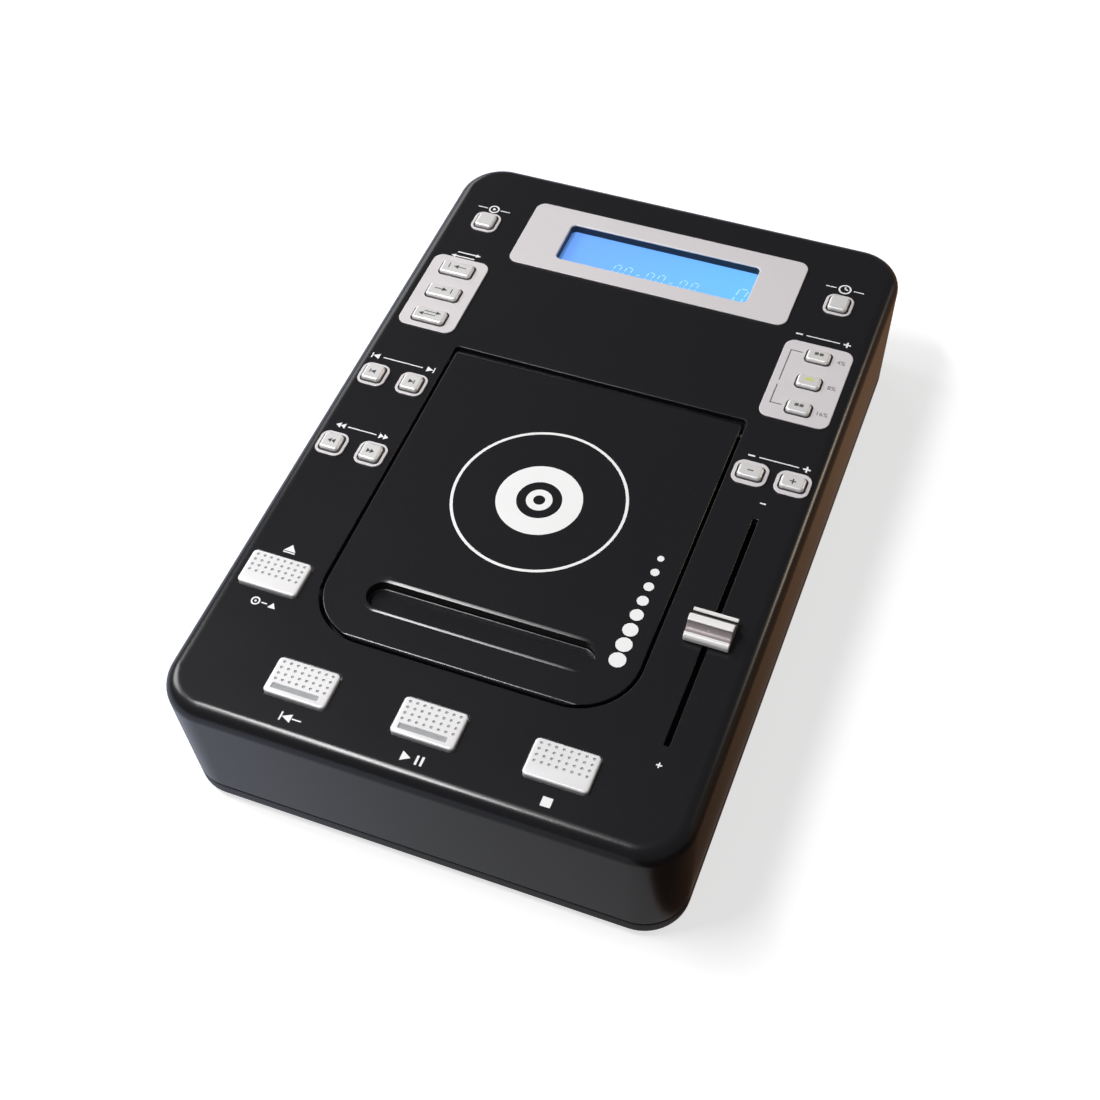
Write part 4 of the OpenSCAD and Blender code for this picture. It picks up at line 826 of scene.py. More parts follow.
# %% Soften what is inside and underneath
INSIDE = [
    ("rubber_feet", foot_rubber, 0.8, "rubber"), ("case_screws", black_steel, 0.4, "screw_steel"),
    ("connector_bay", bay_paint, 0.2, "bay_steel"), ("mains_plate", bay_paint, 0.2, "bay_steel"),
    ("jack_plate", bay_paint, 0.2, "bay_steel"), ("disc_well", well_black, 0.25, "well_black"),
    ("lid_hinge_pin", ground_steel, 0.2, "steel"), ("damper_body", well_black, 0.3, "well_black"),
    ("lid_latch", natural_resin, 0.2, "gear_plastic"), ("mech_chassis", frame_resin, 0.25, "frame_plastic"),
    ("mech_grommets", foot_rubber, 0.5, "rubber"), ("mech_screws", plated_steel, 0.25, "screw_steel"),
    ("spindle_motor", plated_steel, 0.5, "steel"), ("guide_rods", ground_steel, 0.2, "steel"),
    ("pickup_sled", frame_resin, 0.25, "frame_plastic"), ("sled_motor", plated_steel, 0.5, "steel"),
    ("display_board", solder_mask, 0.1, "board_green"), ("panel_boards", solder_mask, 0.1, "board_green"),
    ("panel_switches", switch_resin, 0.2, "switch_black"), ("fader_body", black_steel, 0.2, "pot_steel"),
    ("fader_carriage", plated_steel, 0.15, "pot_steel"), ("main_board", solder_mask, 0.1, "board_green"),
    ("transformer", laminated_iron, 0.3, "core_steel"), ("mains_inlet", socket_black, 0.3, "socket_black"),
    ("power_switch", socket_black, 0.3, "socket_black"), ("power_rocker", socket_black, 0.4, "socket_black"),
    ("audio_jacks", jack_chrome, 0.25, "jack_metal"), ("turntable", well_black, 0.3, "well_black"),
]
for node, material, round_mm, slot in INSIDE:
    soften(node, material, round_mm, 2)
print("inner pieces:", len(INSIDE))

# %% [markdown]
# Gear teeth and spring wire are too fine to round, so these solids stay as they are and only get a
# finish. The pickup's lens and the glass of the display get pieces of their own further down.

# %% Finishes for the solids that stay
for node, material in (("lid_gear", natural_resin), ("damper_pinion", natural_resin),
                       ("sled_gear", natural_resin), ("motor_pinion", turned_brass),
                       ("lid_spring", ground_steel), ("pickup_lens", socket_black),
                       ("lcd_panel", socket_black)):
    paint(nodes[node].data, material)
print("plain solids dressed")

# %% [markdown]
# The key's return spring stands on a shelf of the case and is pressed together by the key. It is a
# plain copy of its solid, with a finish of its own.

# %% Return spring of the eject key
coil = link_piece("eject_coil", nodes["eject_spring"].data.copy())
paint(coil.data, ground_steel)
low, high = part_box("eject_spring")
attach(coil, body_of_node["eject_spring"])
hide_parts("eject_spring")
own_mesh(coil)
print("spring height", round((high.z - low.z) / MM, 2), "mm")

# %% [markdown]
# ## Flat printed marks
#
# Marks are screen printed: an even, slightly raised layer of ink. Each mark here is an outline in
# millimetres, filled and given a thickness of a few hundredths of a millimetre, so it follows its
# button or lid like any other piece. `print_marks` takes closed outlines and places them.


# %% Outlines
def arc(cx, cy, r, a0, a1, n):
    angles = np.radians(np.linspace(a0, a1, n))
    return [(cx + r * math.cos(a), cy + r * math.sin(a)) for a in angles]


def disc(cx, cy, r, n=32):
    return arc(cx, cy, r, 0, 360 * (n - 1) / n, n)


def box_outline(cx, cy, w, h):
    x0, x1, y0, y1 = cx - w / 2, cx + w / 2, cy - h / 2, cy + h / 2
    return [(x0, y0), (x1, y0), (x1, y1), (x0, y1)]


def rounded_outline(cx, cy, w, h, r):
    x, y = w / 2 - r, h / 2 - r
    corners = [(x, -y, -90), (x, y, 0), (-x, y, 90), (-x, -y, 180)]
    return [point for x, y, a in corners for point in arc(cx + x, cy + y, r, a, a + 90, 6)]


def arrow(cx, cy, w, h, turn=0):
    points = [(-w / 2, -h / 2), (w / 2, 0), (-w / 2, h / 2)]
    c, s = math.cos(math.radians(turn)), math.sin(math.radians(turn))
    return [(cx + x * c - y * s, cy + x * s + y * c) for x, y in points]


def band(inner, outer):
    """Four-cornered outlines that fill the space between two closed outlines with as many points."""
    count = len(inner)
    return [[inner[i], outer[i], outer[(i + 1) % count], inner[(i + 1) % count]] for i in range(count)]


def ring_quads(cx, cy, r, width, n):
    return band(disc(cx, cy, r - width / 2, n), disc(cx, cy, r + width / 2, n))


print("a rounded outline has", len(rounded_outline(0, 0, 4, 2, 0.5)), "points")

# %% [markdown]
# Outlines that touch are welded first, so that the small quads of a ring become one closed band.
# Then all faces are extruded by the thickness of the ink.

# %% Ink from outlines
SAME_CORNER = 1e-7


def extrude_all(work):
    """Extrude all faces as one region and return the corners of the new side."""
    grown = bmesh.ops.extrude_face_region(work, geom=work.faces[:])
    return [v for v in grown["geom"] if isinstance(v, bmesh.types.BMVert)]


def print_marks(name, outlines, z, material, body, thick=0.04, place=None):
    """Closed outlines in mm, drawn at height z in metres, then moved by a matrix if one is given."""
    work = bmesh.new()
    for outline in outlines:
        work.faces.new([work.verts.new((x * MM, y * MM, z)) for x, y in outline])
    bmesh.ops.remove_doubles(work, verts=work.verts, dist=SAME_CORNER)
    bmesh.ops.triangulate(work, faces=work.faces)
    bmesh.ops.recalc_face_normals(work, faces=work.faces)
    for face in work.faces:
        if face.normal.z < 0:
            face.normal_flip()
    bmesh.ops.translate(work, verts=extrude_all(work), vec=(0, 0, thick * MM))
    bmesh.ops.recalc_face_normals(work, faces=work.faces)
    mesh = mesh_from(work, name)
    if place:
        mesh.transform(place)
    paint(mesh, material)
    ride_on(link_piece(name, mesh), body)


print("ink ready")

# %% [markdown]
# ### Lid print
#
# A thin ring round the disc's centre, a plain disc sign in it, and a row of eight dots that grow
# towards the front.

# %% Lid print
DOT_X = 59.2
DOTS = [(-38.8, 3.0), (-46.3, 3.8), (-54.1, 4.4), (-61.7, 5.0), (-69.2, 5.8), (-77.0, 6.6), (-84.7, 7.0),
        (-92.5, 7.2)]
SIGN_X, SIGN_Y = -0.5, disc_axis.y / MM
lid_marks = ring_quads(SIGN_X, SIGN_Y, 38.1, 1.3, 128)
lid_marks += [disc(DOT_X, y, across / 2) for y, across in DOTS]
lid_marks += ring_quads(SIGN_X, SIGN_Y, 14.5, 9.0, 96) + ring_quads(SIGN_X, SIGN_Y, 4.2, 3.2, 64)
print_marks("lid_print", lid_marks, CASE_TOP, white_print, "lid")
print("lid marks:", len(lid_marks))

# %% [markdown]
# ### Signs on the panel
#
# Plain signs say what each group of buttons does: a disc for one track at a time, two arrows that
# chase each other for the loop, a bar and arrow for skipping, double arrows for searching, a clock
# for the time, plus and minus for the speed, and the usual signs of the large keys.


# %% Signs made of bars, arrows and rings
THIN = 0.55


def skip_sign(x, y, side, size):
    turn = 0 if side > 0 else 180
    return [arrow(x, y, size, size, turn), box_outline(x + side * size * 0.62, y, size * 0.18, size)]


def search_sign(x, y, side, size):
    turn = 0 if side > 0 else 180
    return [arrow(x + step * size * 0.36, y, size * 0.72, size, turn) for step in (-1, 1)]


def plus_sign(x, y, size, bar):
    return [box_outline(x, y, size, bar), box_outline(x, y + (size + bar) / 4, bar, (size - bar) / 2),
            box_outline(x, y - (size + bar) / 4, bar, (size - bar) / 2)]


def speed_sign(x, y, side, size):
    """Plus on the right, and minus on the left, which is a little narrower."""
    return plus_sign(x, y, size, 0.8) if side > 0 else [box_outline(x, y, size - 0.2, 0.8)]


def loop_sign(x, y, w, h, bar):
    half = (w - h) / 2
    there = [box_outline(x, y + h / 2, w - h, bar), arrow(x + half + 1.2, y + h / 2, 2.4, 2.2, 0)]
    back = [box_outline(x, y - h / 2, w - h, bar), arrow(x - half - 1.2, y - h / 2, 2.4, 2.2, 180)]
    return there + back


def clock_sign(x, y, r, bar):
    hands = [box_outline(x, y + r * 0.3, bar, r * 0.6), box_outline(x + r * 0.3, y, r * 0.5, bar)]
    return ring_quads(x, y, r, bar, 40) + hands


def dashes(x, y, reach):
    """A short thin line on each side of a sign."""
    return [box_outline(x + side * reach, y, 5.0, THIN) for side in (-1, 1)]


print("signs ready")

# %% [markdown]
# Where a sign belongs to two buttons, it has one half over each and a thin line between. Those four
# come from a list. The others are placed one by one beside their button or key.

# %% Panel print
SINGLE, LOOP, CLOCK = (-89.7, 139.8), (-90.0, 104.4), (89.9, 141.0)
PAIRS = [  # x, y, distance of the two halves from x, length of the line, sign, its size
    (-89.8, 28.9, 13.6, 20.0, skip_sign, 3.2), (-90.0, -15.5, 10.6, 14.0, search_sign, 3.1),
    (89.0, 106.0, 11.4, 16.0, speed_sign, 3.4), (90.9, 28.0, 12.5, 18.0, speed_sign, 3.4)]
FADER_MINUS, FADER_PLUS = (90.9, 3.6), (90.6, -132.6)
EJECT_X, EJECT_Y, EJECT_NOTE_Y = -90.5, -85.6, -115.2
FRONT_Y = -162.1
cue_x, play_x, stop_x = (middle(node).x / MM for node in KEYS[1:])
marks = ring_quads(*SINGLE, 2.3, 0.75, 40) + [disc(*SINGLE, 0.75, 20)] + dashes(*SINGLE, 5.9)
marks += loop_sign(*LOOP, 12.5, 2.8, 0.7)
marks += clock_sign(*CLOCK, 2.7, 0.75) + dashes(*CLOCK, 6.7)
for x, y, reach, line, sign, size in PAIRS:
    marks += sign(x - reach, y, -1, size) + sign(x + reach, y, 1, size) + [box_outline(x, y, line, THIN)]
marks += [box_outline(*FADER_MINUS, 2.6, 0.7)] + plus_sign(*FADER_PLUS, 2.4, 0.6)
marks += [arrow(EJECT_X, EJECT_Y, 3.6, 5.4, 90), box_outline(EJECT_X, EJECT_Y - 2.5, 5.4, 0.6)]
marks += ring_quads(-92.4, EJECT_NOTE_Y, 1.7, 0.7, 32) + [disc(-92.4, EJECT_NOTE_Y, 0.5, 12)]
marks += [box_outline(-88.4, EJECT_NOTE_Y, 2.6, 0.6), arrow(-84.6, EJECT_NOTE_Y, 2.8, 3.6, 90)]
marks += skip_sign(cue_x + 1.0, FRONT_Y + 0.3, -1, 4.0) + [box_outline(cue_x + 5.4, FRONT_Y + 0.3, 4.0, 0.6)]
marks += [arrow(play_x - 2.8, FRONT_Y, 4.0, 4.4)]
marks += [box_outline(play_x + step, FRONT_Y, 1.0, 4.2) for step in (1.8, 4.0)]
marks += [box_outline(stop_x, FRONT_Y, 4.2, 4.2)]
print_marks("panel_print", marks, CASE_TOP, white_print, "case")
print("panel marks:", len(marks))

# %% [markdown]
# ### Signs and windows on the buttons
#
# Each small button carries its sign in dark ink, as part of the piece that moves. A table gives the
# sign for each button as a small function of the button's middle.

# %% Button print
BUTTON_SIGNS = {
    "skip_back_button": lambda x, y: skip_sign(x, y, -1, 2.4),
    "skip_forward_button": lambda x, y: skip_sign(x, y, 1, 2.4),
    "search_back_button": lambda x, y: search_sign(x, y, -1, 2.5),
    "search_forward_button": lambda x, y: search_sign(x, y, 1, 2.5),
    "bend_minus_button": lambda x, y: [box_outline(x, y, 2.6, 0.6)],
    "bend_plus_button": lambda x, y: plus_sign(x, y, 2.8, 0.6),
    "loop_in_button": lambda x, y: mark_sign(x, y + 0.6, -1),
    "loop_out_button": lambda x, y: mark_sign(x, y + 0.6, 1),
    "reloop_button": lambda x, y: loop_sign(x, y + 0.4, 8.0, 1.9, 0.45),
}


def mark_sign(x, y, side):
    """A bar with an arrow that points to it, for the start or the end of the loop."""
    turn = 0 if side > 0 else 180
    return [box_outline(x + side * 4, y, 0.5, 3.0), arrow(x + side * 0.6, y, 2.6, 2.4, turn),
            box_outline(x - side * 2.6, y, 4.0, 0.5)]


def on(node):
    place = middle(node)
    return place.x / MM, place.y / MM


def button_print(node, outlines, material):
    print_marks(node + "_print", outlines, top_of(node), material, body_of_node[node])


for node, sign in BUTTON_SIGNS.items():
    button_print(node, sign(*on(node)), dark_print)
print("signs on", len(BUTTON_SIGNS), "buttons")

# %% [markdown]
# The three speed range buttons have small windows instead. The middle one is lit: its range is the
# one that is on.

# %% Windows of the speed range
window_dark = finish("window_dark", (0.13, 0.13, 0.12), moulded_grain, rough=0.2, bump=0.0)
window_lit = finish("window_lit", (0.56, 0.6, 0.22), moulded_grain, rough=0.25, bump=0.0,
                    Emission_Color=(0.5, 0.6, 0.15, 1), Emission_Strength=0.12)
RANGES = {"4": "pitch_4_button", "8": "pitch_8_button", "16": "pitch_16_button"}
for text, node in RANGES.items():
    x, y = on(node)
    if text == "8":
        button_print(node, [rounded_outline(x, y + 0.7, 4.4, 1.9, 0.6)], window_lit)
    else:
        pair = [rounded_outline(x + side * 1.15, y + 0.7, 1.9, 1.7, 0.4) for side in (-1, 1)]
        button_print(node, pair, window_dark)
print("windows in", len(RANGES), "buttons")

# %% [markdown]
# The silver plate of the speed range has a thin bracket and the plain numbers 4, 8 and 16. The
# numbers are text, made a mesh before they are placed.

# %% Plate print
print_grey = finish("print_grey", (0.13, 0.13, 0.135), moulded_grain, rough=0.5, bump=0.05)
TEXT_THICK = 0.02


def number(text, x, y, size, z, material, body, name, place=None):
    curve = bpy.data.curves.new(name, "FONT")
    curve.body = text
    curve.size = size * MM
    curve.align_x, curve.align_y = "CENTER", "CENTER"
    curve.extrude = TEXT_THICK * MM
    holder = link_piece(name + "_text", curve)
    bpy.context.view_layer.update()
    mesh = bpy.data.meshes.new_from_object(holder.evaluated_get(bpy.context.evaluated_depsgraph_get()))
    bpy.data.objects.remove(holder)
    mesh.transform(Matrix.Translation((x * MM, y * MM, z + TEXT_THICK * MM)))
    if place:
        mesh.transform(place)
    paint(mesh, material)
    mesh.name = name
    ride_on(link_piece(name, mesh), body)


PLATE_TOP = top_of("pitch_plate")
for text, node in RANGES.items():
    number(text + "%", 100.9, on(node)[1], 3.4, PLATE_TOP, print_grey, "case", "number_" + text)
bracket = [box_outline(79.6, 94.3, 5.6, 0.5), box_outline(77.0, 84.6, 0.5, 19.9),
           box_outline(77.0, 66.0, 0.5, 11.8), box_outline(79.6, 60.3, 5.6, 0.5)]
print_marks("plate_print", bracket, PLATE_TOP, print_grey, "case")
print("plate printed")

# %% [markdown]
# Round each small button lies the narrow gap between it and the plate. A thin black band on the plate
# paints the shade in that gap as a sharp dark line.

# %% Painted shade in the gaps round the small buttons
FLANGE, GAP, GAP_ROUND = 1.2, 0.75, 1.5
gap_shade_quads = []
for node in BUTTONS:
    size = (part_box(node)[1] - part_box(node)[0]) / MM
    w, d = size.x - 2 * FLANGE + 0.1, size.y - 2 * FLANGE + 0.1
    gap_shade_quads += band(rounded_outline(*on(node), w, d, GAP_ROUND),
                      rounded_outline(*on(node), w + 2 * GAP, d + 2 * GAP, GAP_ROUND + GAP))
# The black band is painted shade, laid just above the plate.
print_marks("button_gap_shade", gap_shade_quads, PLATE_TOP, painted_shade_black, "case", 0.03)
print("gaps round", len(BUTTONS), "buttons")

# %% [markdown]
# ## Dimpled keys
#
# Each large key has rows of small oval pits so that a finger doesn't slip. They repeat, so a
# geometry node tree makes them: a grid of points, an oval bead on each point, and a boolean that
# takes the beads out of the key. The tree has named inputs for rows, pitch and size. Every tree ends
# in Realize Instances and Set Material, because the export drops instances.


# %% Tree that carves the pits
def new_tree(name, inputs):
    """A geometry node tree with a mesh in and out, the named inputs and a finish."""
    tree = bpy.data.node_groups.new(name, "GeometryNodeTree")
    tree.interface.new_socket(name="Geometry", in_out="INPUT", socket_type="NodeSocketGeometry")
    tree.interface.new_socket(name="Geometry", in_out="OUTPUT", socket_type="NodeSocketGeometry")
    for label, kind, value in inputs:
        socket = tree.interface.new_socket(name=label, in_out="INPUT", socket_type="NodeSocket" + kind)
        socket.default_value = value
    tree.interface.new_socket(name="Finish", in_out="INPUT", socket_type="NodeSocketMaterial")
    return tree, tree.nodes.new("NodeGroupInput").outputs, tree.nodes.new("NodeGroupOutput").inputs


def close_tree(tree, geometry, given, wanted):
    last = add_node(tree, "GeometryNodeRealizeInstances", {"Geometry": geometry})
    painted = add_node(tree, "GeometryNodeSetMaterial", {"Geometry": last.outputs["Geometry"],
                                                         "Material": given["Finish"]})
    join(tree, painted.outputs["Geometry"], wanted["Geometry"])


def taken_out(tree, geometry):
    """A boolean that takes whatever joins its second input out of this geometry."""
    inputs = {"Mesh 1": geometry}
    return add_node(tree, "GeometryNodeMeshBoolean", inputs, operation="DIFFERENCE", solver="EXACT")


def build_pit_tree():
    tree, given, wanted = new_tree("key_pits", [
        ("Columns", "Int", 8), ("Rows", "Int", 5), ("Field X", "Float", 0.02), ("Field Y", "Float", 0.01),
        ("Centre", "Vector", (0, 0, 0)), ("Bead", "Vector", (1, 1, 1))])
    grid = add_node(tree, "GeometryNodeMeshGrid", {
        "Size X": given["Field X"], "Size Y": given["Field Y"], "Vertices X": given["Columns"],
        "Vertices Y": given["Rows"]})
    bead = add_node(tree, "GeometryNodeMeshIcoSphere", {"Subdivisions": 2})
    spread = add_node(tree, "GeometryNodeInstanceOnPoints", {
        "Points": grid.outputs["Mesh"], "Instance": bead.outputs["Mesh"], "Scale": given["Bead"]})
    beads = add_node(tree, "GeometryNodeRealizeInstances", {"Geometry": spread.outputs["Instances"]})
    placed = add_node(tree, "GeometryNodeTransform", {"Geometry": beads.outputs["Geometry"],
                                                      "Translation": given["Centre"]})
    cut = taken_out(tree, given["Geometry"])
    join(tree, placed.outputs["Geometry"], cut.inputs["Mesh 2"])
    close_tree(tree, cut.outputs["Mesh"], given, wanted)
    return tree


def set_inputs(modifier, values):
    for item in modifier.node_group.interface.items_tree:
        if item.in_out == "INPUT" and item.name in values:
            modifier[item.identifier] = values[item.name]


pit_tree = build_pit_tree()
print("tree:", pit_tree.name, len(pit_tree.nodes), "nodes")

# %% [markdown]
# The pits lie near the rear of the key and leave a plain band in front. On the cue and play keys that
# band holds a sunk light bar of grey clear plastic. The faces inside the pits get a deeper grey of the
# same paint: mostly painted shade of the pits, with a little dirt.

# %% Pits and light bars
bar_grey = finish("bar_grey", (0.40, 0.41, 0.42), moulded_grain, rough=0.25, bump=0.0, Coat_Weight=0.3,
                  values={"Tone": 0.5, "Cloud Scale": 160.0})
# Painted shade for the pits: a darker grey of the key's silver.
pit_painted_shade = finish("pit_painted_shade", (0.52, 0.52, 0.525), moulded_grain, rough=0.5, bump=0.04)
PIT_COLUMNS, PIT_ROWS = 8, 4
PIT_STEP = (3.12, 2.75)
PIT_SIZE = (0.76 * MM, 0.68 * MM, 0.8 * MM)
BAR_SIZE, BAR_DEEP, BAR_CLEAR = (20.6, 2.3), 0.5, 0.2
pit_field = Vector(((PIT_COLUMNS - 1) * PIT_STEP[0], (PIT_ROWS - 1) * PIT_STEP[1], 0)) * MM


def carve_pits(key, centre):
    pits = key.modifiers.new("pits", "NODES")
    pits.node_group = pit_tree
    set_inputs(pits, {"Columns": PIT_COLUMNS, "Rows": PIT_ROWS, "Field X": pit_field.x,
                      "Field Y": pit_field.y, "Centre": tuple(centre), "Bead": PIT_SIZE,
                      "Finish": key_silver})
    plain_mesh(key)


def bar_block(x, y, z0, z1):
    """A block with rounded corners, in mm, that cuts the slot of a light bar."""
    work = bmesh.new()
    outline = rounded_outline(x, y, BAR_SIZE[0] + BAR_CLEAR, BAR_SIZE[1] + BAR_CLEAR, 0.5)
    work.faces.new([work.verts.new((px * MM, py * MM, z0 * MM)) for px, py in outline])
    bmesh.ops.translate(work, verts=extrude_all(work), vec=(0, 0, (z1 - z0) * MM))
    bmesh.ops.recalc_face_normals(work, faces=work.faces)
    return link_piece("bar_slot", mesh_from(work, "bar_slot"))


def set_bar(key, node, x, y, top):
    block = bar_block(x, y, top / MM - BAR_DEEP, top / MM + 1)
    cut = key.modifiers.new("slot", "BOOLEAN")
    cut.object = block
    cut.solver = "EXACT"
    plain_mesh(key)
    bpy.data.objects.remove(block)
    print_marks(node + "_bar", [rounded_outline(x, y, *BAR_SIZE, 0.45)], top - BAR_DEEP * MM, bar_grey,
                body_of_node[node], 0.12)


print("pits per key:", PIT_COLUMNS * PIT_ROWS)

# %% [markdown]
# Each key is softened first, and then its pits and its bar are cut. The faces inside the pits get
# their painted shade, and the edges of the cuts are marked sharp at the end, so that their shading
# stays crisp.


# %% Carve the keys
# Painted shade: the faces inside the pit field get the darker grey.
def paint_pit_shade(key, centre):
    key.data.materials.append(pit_painted_shade)
    reach_x, reach_y = pit_field.x / 2 + 1 * MM, pit_field.y / 2 + 1 * MM
    for face in key.data.polygons:
        off = face.center - centre
        if abs(off.x) < reach_x and abs(off.y) < reach_y and -0.95 * MM < off.z < -0.12 * MM:
            face.material_index = 1


for node in KEYS:
    key = soften(node, key_silver, 0.9, 4, name=node + "_cap")
    low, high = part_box(node)
    centre = Vector(((low.x + high.x) / 2 + 0.2 * MM, high.y - (FLANGE + 2.2) * MM - pit_field.y / 2,
                     high.z + 0.1 * MM))
    carve_pits(key, centre)
    if node in ("cue_key", "play_key"):
        set_bar(key, node, centre.x / MM - 0.8, low.y / MM + FLANGE + 3.6, high.z)
    paint_pit_shade(key, centre)
    key.data.set_sharp_from_angle(angle=math.radians(28))
print("keys carved:", len(KEYS))

# %% [markdown]
# ## Display
#
# Behind the silver frame lies a blue back-lit glass. The light is a little greener at the right end,
# so the colour runs along X. The digits are strokes of seven-part figures, leaning a little, in a
# paler blue.

# %% Back-lit glass
HALF_WINDOW, WINDOW_DEEP = 48.2, 25.0
BLUE_LEFT, BLUE_RIGHT = (0.135, 0.32, 0.8, 1), (0.13, 0.42, 0.92, 1)
GLASS_TOP, GLASS_THICK = top_of("lcd_panel"), 0.05
window_y = middle("lcd_panel").y / MM
backlight, tree, shader = new_material("backlight")
along = map_range(tree, split_axes(tree, object_place(tree))["X"], -HALF_WINDOW * MM, HALF_WINDOW * MM)
blue = mix_colour(tree, along, BLUE_LEFT, BLUE_RIGHT)
join(tree, blue, shader.inputs["Base Color"])
join(tree, blue, shader.inputs["Emission Color"])
shader.inputs["Emission Strength"].default_value = 0.55
shader.inputs["Roughness"].default_value = 0.2
print_marks("display_glass", [box_outline(0, window_y, 2 * HALF_WINDOW + 0.2, WINDOW_DEEP)], GLASS_TOP,
            backlight, "case", GLASS_THICK)
print("glass at", round(GLASS_TOP / MM, 2))

# %% [markdown]
# A seven-part figure has three level strokes and four upright ones, named a to g. The counter stands
# at nought, so only the nought and the dash are needed.

# %% Digits
STROKES = {"0": "abcdef", "-": "g"}
LEAN = 0.18


def figure(char, x, y, w, h, bar):
    """The strokes of one figure, whose lower left corner is at (x, y)."""
    half = h / 2
    ends = {"a": ((0, h), (w, h)), "b": ((w, h), (w, half)), "c": ((w, half), (w, 0)), "d": ((0, 0), (w, 0)),
            "e": ((0, 0), (0, half)), "f": ((0, half), (0, h)), "g": ((0, half), (w, half))}
    shapes = []
    for part in STROKES[char]:
        (x0, y0), (x1, y1) = ends[part]
        if y0 == y1:
            left, right, under, over = x0 + bar, x1 - bar, y0 - bar / 2, y0 + bar / 2
        else:
            left, right, under, over = x0 - bar / 2, x0 + bar / 2, min(y0, y1) + bar, max(y0, y1) - bar
        quad = [(left, under), (right, under), (right, over), (left, over)]
        shapes.append([(x + px + LEAN * py, y + py) for px, py in quad])
    return shapes


glow_ink = finish("glow_ink", (0.36, 0.66, 1.0), moulded_grain, rough=0.3, bump=0.0,
                  Emission_Color=(0.3, 0.6, 1.0, 1), Emission_Strength=0.42)
FIGURE_STEP, FIGURE_Y = 5.6, window_y - 12.0 + 1.5
figures = []
for index, char in enumerate("00-00-00"):
    figures += figure(char, -21 + index * FIGURE_STEP, FIGURE_Y, 3.0, 7.5, 0.55)
figures += figure("0", 40.0, FIGURE_Y, 4.2, 11.0, 0.75)
print_marks("display_figures", figures, GLASS_TOP + GLASS_THICK * MM, glow_ink, "case", 0.03)
print("figures:", len(figures), "strokes")

# %% [markdown]
# ## Rear, underside and turntable
#
# The rear plates are held by small screws with a cross recess. They repeat, so a geometry node tree
# makes them: a low cone for the head, two bars taken out of it, and a copy on every point of the
# mesh that carries the modifier. The same tree dresses the screws under the case.

# %% Tree that sets cross recess screws
HEAD_TOP, BAR_LONG, BAR_NARROW, BAR_RISE = 0.8, 1.15, 0.27, 1.2


def recess_bar(tree, height, x, y):
    """A bar as high as the head, raised so that it only cuts into the top."""
    size = add_node(tree, "ShaderNodeCombineXYZ", {"X": x, "Y": y, "Z": height})
    bar = add_node(tree, "GeometryNodeMeshCube", {"Size": size.outputs[0]})
    rise = add_node(tree, "ShaderNodeCombineXYZ", {"Z": math_node(tree, "MULTIPLY", height, BAR_RISE)})
    raised = add_node(tree, "GeometryNodeTransform", {"Geometry": bar.outputs["Mesh"],
                                                      "Translation": rise.outputs[0]})
    return raised.outputs["Geometry"]


def build_screw_tree():
    tree, given, wanted = new_tree("cross_screws", [
        ("Radius", "Float", 0.002), ("Height", "Float", 0.001), ("Turn", "Vector", (0, 0, 0))])
    top = math_node(tree, "MULTIPLY", given["Radius"], HEAD_TOP)
    head = add_node(tree, "GeometryNodeMeshCone", {
        "Vertices": 24, "Radius Top": top, "Radius Bottom": given["Radius"], "Depth": given["Height"]})
    cut = taken_out(tree, head.outputs["Mesh"])
    long = math_node(tree, "MULTIPLY", given["Radius"], BAR_LONG)
    narrow = math_node(tree, "MULTIPLY", given["Radius"], BAR_NARROW)
    for x, y in ((long, narrow), (narrow, long)):
        join(tree, recess_bar(tree, given["Height"], x, y), cut.inputs["Mesh 2"])
    turn = add_node(tree, "FunctionNodeEulerToRotation", {0: given["Turn"]})
    spread = add_node(tree, "GeometryNodeInstanceOnPoints", {
        "Points": given["Geometry"], "Instance": cut.outputs["Mesh"], "Rotation": turn.outputs[0]})
    close_tree(tree, spread.outputs["Instances"], given, wanted)
    return tree


screw_tree = build_screw_tree()
print("tree:", screw_tree.name, len(screw_tree.nodes), "nodes")

# %% [markdown]
# `set_screws` makes a mesh of loose points and lets the tree put a screw on each. The result is
# applied, so these screws are plain faces as well.


# %% Screws on the rear
def set_screws(name, spots, radius, height, turn):
    """Screw heads on points in mm, turned to face away from what they hold."""
    mesh = bpy.data.meshes.new(name)
    mesh.from_pydata([Vector(spot) * MM for spot in spots], [], [])
    piece = link_piece(name, mesh)
    heads = piece.modifiers.new("heads", "NODES")
    heads.node_group = screw_tree
    set_inputs(heads, {"Radius": radius * MM, "Height": height * MM, "Turn": turn, "Finish": plated_steel})
    plain_mesh(piece)
    ride_on(piece, "case")


PANEL_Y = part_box("mains_plate")[1].y / MM
SOCKET_Z = 37.0
rear_spots = [(x, PANEL_Y, z) for x in (-84.5, -14.0, -4.0, 84.5) for z in (19.0, 55.0)]
rear_spots.append((29.0, PANEL_Y, SOCKET_Z))
set_screws("rear_screws", rear_spots, 1.9, 0.9, (math.radians(-90), 0, 0))
print("rear screws:", len(rear_spots))

# %% [markdown]
# The places of the screws under the case are read from their solid. Its lowest corners belong to the
# heads, so they are sorted into one group for each head, and the screw stands in the group's middle.

# %% Screws under the case
HEAD_REACH = 8
screw_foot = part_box("case_screws")[0].z / MM
heads = []
for vertex in nodes["case_screws"].data.vertices:
    corner = vertex.co / MM
    if corner.z < screw_foot + 0.1:
        near = [head for head in heads if (head[0] - corner).length < HEAD_REACH]
        if near:
            near[0].append(corner)
        else:
            heads.append([corner])


def halfway(corners, axis):
    values = [corner[axis] for corner in corners]
    return (min(values) + max(values)) / 2


under_spots = [(halfway(head, 0), halfway(head, 1), screw_foot) for head in heads]
set_screws("under_screws", under_spots, 2.4, 0.5, (math.pi, 0, 0))
print("screws under the case:", len(under_spots))

